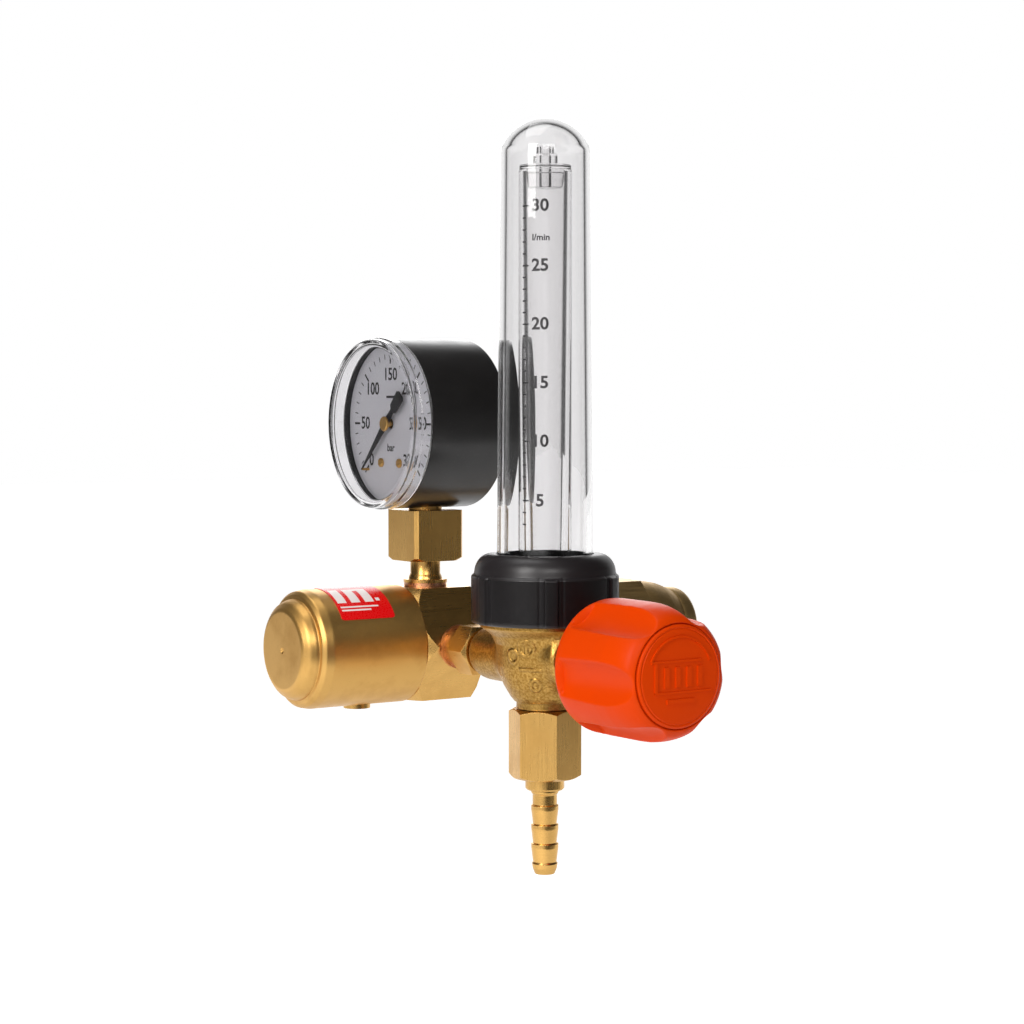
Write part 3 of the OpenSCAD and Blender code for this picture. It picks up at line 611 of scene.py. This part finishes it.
def build_gauge():
    """Case, snap-in window and dial print."""
    case = eased([
        (-13.2, 24.3, 0.05), (-13.2, 25.0, 0.15), (-12.9, 25.3, 0.15), (-11.6, 25.3, 0), (11.4, 25.3, 0),
        (13.4, 25.3, 3.0), (13.4, 0, 0), (12.4, 0, 0), (12.4, 24.3, 0.5)], 7)
    piece("gauge_case_shell", [around(case, "x", GAUGE, 200)], "gauge_case", 35)
    window = eased([
        (-19.5, 0, 0), (-19.5, 25.1, 2.2), (-16.7, 25.1, 0.2), (-16.3, 25.5, 0.25), (-13.45, 25.5, 0.15),
        (-13.25, 25.4, 0.05), (-13.25, 24.15, 0.05), (-18.3, 24.0, 1.3), (-18.3, 0, 0)], 7)
    piece("gauge_window_clear", [around(window, "x", GAUGE, 200)], "gauge_window", 40)
    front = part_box("gauge_dial")[0][0] / MM - 0.03

    def on_dial(across, up, out):
        """Print on the dial: across runs to the viewer's right, which is -Y, and up is +Z."""
        return np.stack([front - out, -across, GAUGE[2] + up], -1)

    marks = []
    for value in range(0, FULL_SCALE + 1, 10):
        angle = dial_angle(value)
        inner, outer, thick = (19.3, 20.9, 0.3) if value % 50 else (17.9, 20.9, 0.62)
        reach = (inner + outer) / 2
        marks.append(bar(reach * math.sin(angle), reach * math.cos(angle), outer - inner, thick, on_dial,
                         math.pi / 2 - angle))
    words = []
    for value in range(0, FULL_SCALE + 1, 50):
        angle = dial_angle(value)
        reach = 14.6 if value % FULL_SCALE else 15.6
        words.append((str(value), (reach * math.sin(angle), reach * math.cos(angle)), 1.0))
    words.append(("bar", (0.2, -7.2), 0.62))
    marks += lettering(words, 5.2, on_dial, 0.016)
    marks.append(bar(0.0, 8.0, 4.6, 0.7, on_dial))
    piece("dial_print", marks, "gauge_dial", 30, "ink", stands_for=[])


# ---- flowmeter ----

def smooth_min(a, b, ease):
    """Blend of two heights that follows the lower and rounds the crease between them."""
    share = np.clip(0.5 + 0.5 * (b - a) / ease, 0, 1)
    return b * (1 - share) + a * share - ease * share * (1 - share)


def wavy(points, scale, seed):
    """Smooth lumps: the sum of crossed sine waves of random direction and phase, over half their number."""
    waves = 14
    draw = np.random.default_rng(seed)
    total = np.zeros(points.shape[:-1])
    for _ in range(waves):
        way = draw.normal(size=3)
        way *= scale * draw.uniform(0.6, 1.6) / np.linalg.norm(way)
        total += np.sin(points @ way + draw.uniform(0, 2 * np.pi))
    return total / (waves / 2)


# Height and radius of the forged core, in millimetres
FORGING = np.array([(-22.8, 6.0), (-22.4, 6.4), (-13.4, 6.4), (-13.2, 8.0), (-11.3, 8.0), (-11.2, 8.6),
                    (-9.8, 9.7), (-7, 11.4), (-4, 12.6), (-1, 13.3), (2.5, 13.6), (5, 13.9), (7.6, 15.2),
                    (9.2, 17.2), (9.9, 18.1)])
CORE_FOOT, CORE_HEAD = -22.8, 9.9
INLET_END, VALVE_END = 29.8, 15.5
MARK_WAY = math.radians(-145)      # the side that carries the raised forging marks


def forging_depth(points):
    """Rough distance outside the forged body: its round core about Z, the inlet boss along +Y and the valve
    boss along -Y, joined with fillets; the core's ends are flat."""
    x, y, z = points[..., 0], points[..., 1], points[..., 2]
    radius = np.hypot(x, y)
    core = (radius - np.interp(z, FORGING[:, 0], FORGING[:, 1])) * 0.9
    core = np.maximum(core, np.maximum(z - CORE_HEAD, CORE_FOOT - z))
    nose = np.clip((y - 24.5) / 5.3, 0, 1)
    inlet = np.hypot(x, z) - (7.9 - 0.6 * nose - 1.9 * nose ** 4)
    inlet = np.maximum(np.maximum(inlet, y - INLET_END), -y)
    valve = np.hypot(x, z - VALVE[2]) - 8.6
    rim = np.clip((-y - 13.8) / 1.7, 0, 1)
    valve = np.maximum(np.maximum(valve + 0.9 * rim ** 2, -y - VALVE_END), y)
    low_core = np.where(z < -10, core, smooth_min(smooth_min(core, inlet, 4.0), valve, 3.0))
    return np.minimum(low_core, np.minimum(core, np.minimum(inlet, valve)))


def forging_marks(points):
    """Height of the plain raised marks on the forging: three rings, one with a bar in it, and a flat bar.
    They are drawn in (distance round the core, height)."""
    turn = np.arctan2(points[..., 1], points[..., 0]) - MARK_WAY
    turn = (turn + np.pi) % (2 * np.pi) - np.pi
    core_radius = 13.5
    s, z = turn * core_radius, points[..., 2]
    ring = np.abs(np.hypot(s + 0.3, z - 4.6) - 2.1)
    bar_in = np.maximum(np.abs(s + 0.3), np.abs(z - 4.6) - 1.2)
    second = np.abs(np.hypot(s + 4.6, z - 2.2) - 1.7)
    flat = np.maximum(np.abs(s - 0.6) - 2.8, np.abs(z + 1.2))
    foot = np.abs(np.hypot(s - 1.8, z + 5.6) - 1.5)
    nearest = np.minimum.reduce([ring, bar_in, second, flat, foot])
    return 0.34 * np.clip((0.62 - nearest) / 0.35, 0, 1) * (np.abs(turn) < 1.2)


def build_flow_body():
    """Forging as a star surface: along each direction from its centre the surface lies where the joined
    shape's depth crosses nought, found by halving; then lumps and marks are added outwards. Its threaded
    head is turned as a separate shell in the same piece."""
    rows, columns, halvings, beyond = 250, 360, 26, 45.0
    up = np.linspace(-np.pi / 2, np.pi / 2, rows)[:, None]
    turn = np.linspace(0, 2 * np.pi, columns, endpoint=False)[None]
    way = np.stack([np.cos(up) * np.cos(turn), np.cos(up) * np.sin(turn), np.sin(up) + 0 * turn], -1)
    near, far = np.zeros((rows, columns)), np.full((rows, columns), beyond)
    for _ in range(halvings):
        half = (near + far) / 2
        outside = forging_depth(way * half[..., None]) > 0
        near, far = np.where(outside, near, half), np.where(outside, half, far)
    points = way * near[..., None]
    skin = (points[..., 2] > -10.6) * (points[..., 2] < 9.0) * (points[..., 1] < 29.4)
    lift = 0.05 * wavy(points, 1.1, 3) + 0.03 * wavy(points, 2.6, 5) + forging_marks(points)
    points = points + way * (skin * lift)[..., None]
    points[0], points[-1] = points[0].mean(0), points[-1].mean(0)
    head = eased([
        (9.6, 2.2, 0), (9.6, 18.2, 0.3), (21.0, 18.2, 0.3), (21.0, 16.8, 0.1), (19.6, 16.8, 0.1),
        (19.6, 14.6, 0.1), (21.0, 14.6, 0.1), (21.0, 7.45, 0.2), (15.0, 7.45, 0.1), (15.0, 2.2, 0)], 3)
    piece("flow_body_forging", [(points + FLOW, quads(rows, columns)), around(head, "z", FLOW, 96)],
          "flow_body", 38)


COLLAR_RADIUS = 20.65


def build_collar():
    """Collar nut: a moulded profile turned round the tube, with six lugs raised on its skirt and a fine
    groove beside each."""
    corners = [(10.8, 18.25, 0.1), (10.8, 20.0, 0.4), (11.2, COLLAR_RADIUS, 0.3), (23.9, COLLAR_RADIUS, 0.3),
               (24.5, 19.9, 0.2)]
    for angle in np.radians(np.arange(6, 90, 7)):
        corners.append((24.6 + 5.5 * math.sin(angle), 15.2 + 4.6 * math.cos(angle), 0))
    corners += [(30.1, 13.65, 0.15), (24.4, 13.65, 0), (24.4, 18.25, 0)]
    profile = eased(corners, 6)
    skirt = np.linspace(11.8, 23.6, 30)
    at = np.searchsorted(profile[:14, 0], 11.6)
    profile = np.vstack([profile[:at], np.stack([skirt, np.full(30, COLLAR_RADIUS)], -1), profile[at:]])
    keep = np.r_[True, np.linalg.norm(np.diff(profile, axis=0), axis=1) > 1e-6]

    def lugs(along, reach, t):
        """Raises the lugs and sinks the grooves; round_it is the distance from the nearest lug's middle."""
        turn = (t - math.radians(-120) + math.pi / 6) % (math.pi / 3) - math.pi / 6
        round_it = np.abs(turn) * 20.9
        side = np.clip((2.15 - round_it) / 0.55, 0, 1)
        side = side * side * (3 - 2 * side)
        top = np.clip((24.35 - along) / 0.7, 0, 1) * np.clip((along - 10.8) / 0.3, 0, 1)
        groove = 0.12 * np.exp(-((round_it - 3.3) / 0.35) ** 2) * (along < 24.6)
        return along, reach + (reach > 19.9) * (0.68 * side * top * top * (3 - 2 * top) - groove)

    piece("collar_moulded", [around(profile[keep], "z", FLOW, 540, lugs)], "collar_nut", 40)


TUBE_FOOT, TUBE_SHOULDER = 21.45, 142.0
SHOULDER_RADIUS, DOME_RISE = 12.5, 8.75


def dome(steps, wall=0.0):
    """Arc of a sphere cap through the shoulder and the crown, moved inwards by the wall. The sphere's radius
    is (shoulder radius^2 + rise^2) / (2 rise)."""
    ball = (SHOULDER_RADIUS ** 2 + DOME_RISE ** 2) / (2 * DOME_RISE)
    centre = TUBE_SHOULDER + DOME_RISE - ball
    start = math.asin((SHOULDER_RADIUS - wall) / (ball - wall))
    a = np.linspace(start, 0, steps)
    return np.stack([centre + (ball - wall) * np.cos(a), (ball - wall) * np.sin(a)], -1)


def build_tubes():
    """Clear domed cover, the inner tube with its bore, and the float's stops."""
    outer, inner = dome(22), dome(20, 1.9)
    outer[:3, 1] -= np.array([0.10, 0.04, 0.01])
    foot = eased([(TUBE_FOOT, 11.6, 0.1), (TUBE_FOOT, 17.6, 0.2), (24.35, 17.6, 0.2), (24.35, 13.5, 0.4),
                  (26.0, 13.48, 0), (60.0, 13.22, 0), (100.0, 12.88, 0), (140.5, 12.52, 0)], 3)
    crown = [(TUBE_SHOULDER + DOME_RISE, 0.0)]
    bore = [(141.0, 10.6), (100.0, 10.92), (60.0, 11.28)]
    cover = np.vstack([foot, outer[:-1], crown, inner[::-1], bore])
    piece("outer_tube_clear", [around(cover, "z", FLOW, 160)], "outer_tube", 40)
    tube = eased([(16, 4.15, 0.1), (16, 7.4, 0.2), (136, 7.4, 0.3), (136, 5.4, 0.15)], 3)
    piece("metering_tube_clear", [around(tube, "z", FLOW, 128)], "metering_tube", 40)
    low_stop = [(16, 1.2, 0), (16, 4.1, 0.2), (19.5, 4.1, 0.4), (19.5, 1.2, 0.1)]
    high_stop = [(131, 1.2, 0), (131, 4.85, 0.5), (136, 5.28, 0), (136, 7.2, 0.1), (137.4, 7.2, 0.4),
                 (137.4, 3.4, 0.2), (140.4, 3.4, 0.5), (140.4, 2.4, 0.2), (143, 2.4, 0.6), (143, 1.2, 0)]
    stops = [around(eased(corners, 3), "z", FLOW, 64) for corners in (low_stop, high_stop)]
    piece("float_stops_turned", stops, "float_stops", 40)


SCALE_WAY = math.radians(-135.5)   # the side of the inner tube that carries the scale
SCALE_RADIUS = 7.42                # middle of the print
# Height of each numbered flow, in millimetres
SCALE_HEIGHTS = {5: 45.0, 10: 61.4, 15: 77.5, 20: 93.6, 25: 109.6, 30: 125.9}
SCALE_STEP = 3.3                   # between marks under the lowest number


def build_scale():
    """Scale on the inner tube: print wrapped on its wall, angle = across / radius. Marks between two numbers
    are spaced evenly; those under the lowest number go down by a fixed step."""
    def on_tube(across, up, out):
        reach = SCALE_RADIUS + 0.02 + out
        angle = SCALE_WAY + across / SCALE_RADIUS
        return np.stack([FLOW[0] + reach * np.cos(angle), FLOW[1] + reach * np.sin(angle), up], -1)

    flows, heights = list(SCALE_HEIGHTS), list(SCALE_HEIGHTS.values())
    marks = []
    for flow in range(3, 31):
        up = float(np.interp(flow, flows, heights)) - max(0, flows[0] - flow) * SCALE_STEP
        across, wide = (-4.9, 1.4) if flow % 5 else (-4.45, 2.3)
        marks.append(bar(across, up, wide, 0.42, on_tube))
    words = [(str(flow), (0.0, up), 1.0) for flow, up in SCALE_HEIGHTS.items()]
    words.append(("l/min", (0.2, 117.2), 0.52))
    marks += lettering(words, 4.7, on_tube, 0.026)
    piece("tube_scale", marks, "metering_tube", 30, "scale_ink", stands_for=[])


KNOB_RADIUS, KNOB_REAR = 18.4, 93.0
FLUTE_CUTTER = 9.0


def build_knob():
    """Knob: a moulded profile whose radius dips into six scoops, each the inside of a cutting circle of
    radius q with its centre c from the axis: at an angle d from the scoop's middle,
    r = c cos d - sqrt(q^2 - c^2 sin^2 d), blended softly with the barrel. And its domed cap."""
    knots = np.array([(17, 0), (21, 0.18), (24.5, 0.7), (27, 1.4), (29, 2.3), (30.1, 3.2), (30.55, 4.0)])
    count, window = 221, 29
    run = np.r_[0, np.cumsum(np.linalg.norm(np.diff(knots, axis=0), axis=1))]
    steps = np.linspace(0, run[-1], 44)[1:]
    held = np.clip(np.arange(-(window // 2), count + window // 2), 0, count - 1)
    soft = []
    for k in (0, 1):
        even = np.interp(np.linspace(0, run[-1], count), run, knots[:, k])
        soft.append(np.convolve(even[held], np.ones(window) / window, "valid"))
    at = steps / run[-1] * (count - 1)
    barrel = np.stack([KNOB_REAR + np.interp(at, np.arange(count), soft[0]),
                       KNOB_RADIUS - np.interp(at, np.arange(count), soft[1])], -1)
    rear = np.array([(93.0, 16.9), (93.05, 17.3), (93.3, 17.7), (93.75, 18.0), (94.4, 18.2), (95.2, 18.3),
                     (95.6, 18.33), (96.0, 18.36), (96.5, 18.38), (97.0, 18.4), (97.6, 18.4), (98.3, 18.4),
                     (99.2, 18.4), (101, 18.4), (104, 18.4), (107, 18.4), (109, 18.4), (110, 18.4)])
    front = np.array([(123.6, 14.3), (123.65, 14.15), (123.55, 13.95), (123.2, 13.85), (123.0, 13.6),
                      (123.0, 3.0), (107.0, 3.0), (107.0, 13.5), (93.4, 13.6), (93.0, 14.2)])
    profile = np.vstack([rear, barrel, front])
    reach_out = KNOB_RADIUS + FLUTE_CUTTER - sizes().flute_depth / MM

    def scoops(along, reach, t):
        """Cuts the scoops, which start softly near the rear and deepen a little towards the front."""
        turn = (t - math.radians(24) + math.pi / 6) % (math.pi / 3) - math.pi / 6
        inside = np.clip(FLUTE_CUTTER ** 2 - (reach_out * np.sin(turn)) ** 2, 0, None)
        scoop = np.where(inside > 0, reach_out * np.cos(turn) - np.sqrt(inside), 40.0)
        start = np.clip((along - 94.6) / 1.2, 0, 1)
        scoop = scoop + 4.0 * (1 - start) ** 2 - 0.06 * (along - 96)
        return along, np.where(reach > 14.2, smooth_min(reach, scoop, 0.5), reach)

    piece("knob_moulded", [around(profile, "y", VALVE, 432, scoops)], "knob", 45)
    cap = eased([
        (122.9, 0, 0), (122.9, 13.55, 0.1), (124.0, 13.55, 0.35), (124.3, 12.9, 0.15), (124.12, 12.75, 0.1),
        (124.12, 12.45, 0.1), (124.3, 12.3, 0.1), (124.48, 9.0, 0), (124.58, 5.0, 0), (124.6, 0, 0)], 4)

    def on_cap(across, up, out):
        """Raised mouldings on the cap's domed face."""
        level = np.interp(np.hypot(across, up), [0, 5, 9, 12.3], [124.6, 124.58, 124.48, 124.3])
        return np.stack([VALVE[0] + across, -(level + out), VALVE[2] + up], -1)

    bars = [(-1.5, 4.1, 16.0, 0.6, 0.0), (0.8, -4.0, 18.5, 0.6, 0.0), (-8.0, 0.0, 0.9, 8.0, 0.0)]
    bars += [(-4.6 + 3.6 * k, 0.0, 1.5, 5.2, 0.0) for k in range(4)]
    bars.append((0, -6.3, 9.0, 1.2, 0.0))
    for turn in np.radians(np.arange(26, 155, 6)):
        bars.append((10.4 * math.cos(turn), 10.4 * math.sin(turn), 1.25, 0.5, turn + math.pi / 2))
    mouldings = [bar(*shape, on_cap, turn, rise=0.7) for *shape, turn in bars]
    piece("knob_cap_moulded", [around(cap, "y", VALVE, 128)] + mouldings, "knob_cap", 35)


def build_tail():
    """Hose tail: collar, shank and three ridges that rise slowly and fall at once."""
    corners = [(-23, 2.1, 0), (-23, 6.1, 0.1), (-26.4, 6.1, 0.2), (-26.8, 3.9, 0.1), (-37, 3.9, 0.3),
               (-37.6, 3.45, 0.1), (-40.4, 3.45, 0.1)]
    for top in (-40.6, -46.0, -51.4):
        corners += [(top, 3.85, 0.12), (top - 1.2, 3.85, 0.25), (top - 5.2, 3.35, 0.1)]
    corners += [(-57, 3.65, 0.2), (-58.4, 3.45, 0.2), (-60, 2.8, 0.15), (-60, 2.1, 0.1)]
    piece("hose_tail_turned", [around(eased(corners, 4), "z", FLOW, 96)], "hose_tail", 38)


# ---- stage ----

CAMERA_PLACE = (-0.4619, -0.5891, 0.0728)
CAMERA_TURN, CAMERA_DOWN = math.radians(-34.01), math.radians(2.79)
LENS, SENSOR = 80.86, 36.0
FLOOR_Z = -0.30
EVEN_LIGHT = 0.05
# Soft patches that only reflections see: heading, rise, full inside, gone outside (degrees), value
STUDIO = (
    (56, 2, 28, 50, 0.93),
    (-149, 8, 14, 42, 0.62),
    (-165, 65, 10, 45, 0.40),
    (-60, -8, 8, 26, 0.12),
)


def placed(right, up, back, place):
    """Matrix of an object at a place, from its own right, up and back directions."""
    matrix = np.eye(4)
    matrix[:3] = np.stack([right, up, back, place], -1)
    return Matrix(matrix.tolist())


def area(name, place, target, size, power, tint=(1, 1, 1)):
    """Soft area light of width x height at a place, facing a target."""
    data = bpy.data.lights.new(name, "AREA")
    data.shape = "RECTANGLE"
    data.size, data.size_y = size
    data.energy = power
    data.color = tint
    made = bpy.data.objects.new(name, data)
    bpy.context.scene.collection.objects.link(made)
    way = np.array(place) - np.array(target)
    back = way / np.linalg.norm(way)
    right = np.cross((0, 0, 1), back)
    right /= np.linalg.norm(right)
    made.matrix_world = placed(right, np.cross(back, right), back, place)
    made.visible_camera = False
    made.visible_transmission = False


def build_floor():
    """Pale floor that glows, its glow held low near the part as a painted shadow under it and growing with
    the distance to full brightness further off.
    """
    u, v = np.meshgrid(np.linspace(-3, 8, 25), np.linspace(-0.75, 9, 25), indexing="ij")
    points = np.stack([u, v, np.full_like(u, FLOOR_Z)], -1).reshape(-1, 3)
    mesh = bpy.data.meshes.new("floor")
    mesh.from_pydata(points.tolist(), [], quads(25, 25, wrap_columns=False)[:, ::-1].tolist())
    floor = bpy.data.objects.new("floor", mesh)
    bpy.context.scene.collection.objects.link(floor)
    pale = Finish("pale_floor", (0.9, 0.9, 0.9), Roughness=0.9, Emission_Color=(1, 1, 1, 1))
    away = pale.node("VectorMath", {0: pale.place}, operation="LENGTH").outputs["Value"]
    # painted shadow: the floor's glow is 0.28 within 0.45 m of the origin by the part and rises to 0.80
    # beyond 0.95 m
    pale.put(pale.span(away, 0.45, 0.95, 0.28, 0.80), pale.shader.inputs["Emission Strength"])
    pale.put(pale.blend(pale.noise(3), (0.90, 0.90, 0.90), (0.93, 0.93, 0.93)),
             pale.shader.inputs["Base Color"])
    mesh.materials.append(pale.material)


def build_room():
    """Room of soft patches over a faint even light, white to the camera. A patch fades with the angle
    between a ray and the patch's middle, and the patches are added together."""
    world = bpy.data.worlds.new("studio")
    bpy.context.scene.world = world
    world.use_nodes = True
    tree = world.node_tree
    tree.nodes.clear()

    def add(kind, **settings):
        made = tree.nodes.new("ShaderNode" + kind)
        for key, value in settings.items():
            setattr(made, key, value)
        return made

    def joined(*links):
        for output, socket in links:
            tree.links.new(output, socket)

    way = add("TexCoord").outputs["Generated"]
    total = None
    for heading, rise, inner, outer, value in STUDIO:
        facing = add("VectorMath", operation="DOT_PRODUCT")
        turned, raised = math.radians(heading), math.radians(rise)
        facing.inputs[1].default_value = (math.cos(raised) * math.cos(turned),
                                          math.cos(raised) * math.sin(turned), math.sin(raised))
        patch = add("MapRange", interpolation_type="SMOOTHSTEP")
        patch.inputs["From Min"].default_value = math.cos(math.radians(outer))
        patch.inputs["From Max"].default_value = math.cos(math.radians(inner))
        patch.inputs["To Max"].default_value = value
        both = add("Math", operation="ADD")
        joined((way, facing.inputs[0]), (facing.outputs["Value"], patch.inputs["Value"]),
               (patch.outputs["Result"], both.inputs[0]))
        if total is None:
            both.inputs[1].default_value = EVEN_LIGHT
        else:
            joined((total, both.inputs[1]))
        total = both.outputs[0]
    mixed = add("Mix", data_type="RGBA")
    mixed.inputs[7].default_value = (1, 1, 1, 1)
    shown, out = add("Background"), add("OutputWorld")
    joined((add("LightPath").outputs["Is Camera Ray"], mixed.inputs[0]), (total, mixed.inputs[6]),
           (mixed.outputs[2], shown.inputs["Color"]), (shown.outputs[0], out.inputs[0]))


def build_lights():
    """Four soft area lights round the part."""
    target = (-0.09, -0.05, 0.03)
    area("key", (-0.92, -0.38, 0.50), target, (0.35, 0.55), 5.4, (1.0, 0.985, 0.965))
    area("front", (-0.55, -1.05, 0.62), target, (0.6, 0.4), 3.6, (1.0, 0.985, 0.97))
    area("top", (-0.20, 0.15, 1.00), target, (0.7, 0.5), 2.6)
    area("rim", (0.45, 0.85, 0.35), target, (0.5, 0.7), 2.4)


def build_camera():
    """Camera turned about Z from looking along +Y, then tipped down."""
    turn, down = CAMERA_TURN, CAMERA_DOWN
    right = np.array([math.cos(turn), math.sin(turn), 0])
    back = np.array([math.sin(turn) * math.cos(down), -math.cos(turn) * math.cos(down), math.sin(down)])
    data = bpy.data.cameras.new("camera")
    data.lens, data.sensor_width = LENS, SENSOR
    camera = bpy.data.objects.new("camera", data)
    camera.matrix_world = placed(right, np.cross(back, right), back, CAMERA_PLACE)
    bpy.context.scene.collection.objects.link(camera)
    bpy.context.scene.camera = camera
    bpy.context.scene.view_settings.view_transform = "Standard"


def build_stage():
    """Floor, room, lights and camera."""
    build_floor()
    build_room()
    build_lights()
    build_camera()


# ---- operators ----

class BuildingStep:
    """Runs an operator's builders in turn"""

    def execute(self, context):
        for build in self.builders:
            build()
        return {"FINISHED"}


class REGULATOR_OT_finishes(BuildingStep, Operator):
    """Make every finish and put it on the frame's own nodes"""
    bl_idname = "regulator.finishes"
    bl_label = "Finishes"
    builders = (make_finishes,)


class REGULATOR_OT_machined(BuildingStep, Operator):
    """Break the edges of the milled and turned brass parts"""
    bl_idname = "regulator.machined"
    bl_label = "Machined Parts"
    builders = (build_machined,)


class REGULATOR_OT_bonnet(BuildingStep, Operator):
    """Build the bonnet and its label"""
    bl_idname = "regulator.bonnet"
    bl_label = "Bonnet and Label"
    builders = (build_bonnet, build_label)


class REGULATOR_OT_gauge(BuildingStep, Operator):
    """Build the gauge case, window and dial print"""
    bl_idname = "regulator.gauge"
    bl_label = "Gauge"
    builders = (build_gauge,)


class REGULATOR_OT_flow_body(BuildingStep, Operator):
    """Build the forged body, its collar and the hose tail"""
    bl_idname = "regulator.flow_body"
    bl_label = "Flow Body"
    builders = (build_flow_body, build_collar, build_tail)


class REGULATOR_OT_tubes(BuildingStep, Operator):
    """Build the clear tubes, the float's stops and the scale"""
    bl_idname = "regulator.tubes"
    bl_label = "Flow Tubes"
    builders = (build_tubes, build_scale)


class REGULATOR_OT_knob(BuildingStep, Operator):
    """Build the fluted knob and its cap"""
    bl_idname = "regulator.knob"
    bl_label = "Knob"
    builders = (build_knob,)


class REGULATOR_OT_stage(BuildingStep, Operator):
    """Set up the floor, the lights and the camera"""
    bl_idname = "regulator.stage"
    bl_label = "Stage"
    builders = (build_stage,)


STEPS = (REGULATOR_OT_finishes, REGULATOR_OT_machined, REGULATOR_OT_bonnet, REGULATOR_OT_gauge,
         REGULATOR_OT_flow_body, REGULATOR_OT_tubes, REGULATOR_OT_knob, REGULATOR_OT_stage)


class REGULATOR_PT_panel(Panel):
    """Sizes, colours and building steps"""
    bl_idname = "REGULATOR_PT_panel"
    bl_label = "Gas Regulator"
    bl_space_type = "VIEW_3D"
    bl_region_type = "UI"
    bl_category = "Gas Regulator"

    def draw(self, context):
        for name in RegulatorSizes.__annotations__:
            self.layout.prop(context.scene.regulator_sizes, name)
        for step in STEPS:
            self.layout.operator(step.bl_idname)


CLASSES = (RegulatorSizes, *STEPS, REGULATOR_PT_panel)


def register():
    for made in CLASSES:
        bpy.utils.register_class(made)
    bpy.types.Scene.regulator_sizes = PointerProperty(type=RegulatorSizes)


def unregister():
    del bpy.types.Scene.regulator_sizes
    for made in reversed(CLASSES):
        bpy.utils.unregister_class(made)


def main():
    register()
    for step in STEPS:
        group, name = step.bl_idname.split(".")
        getattr(getattr(bpy.ops, group), name)()


if __name__ == "__main__":
    main()
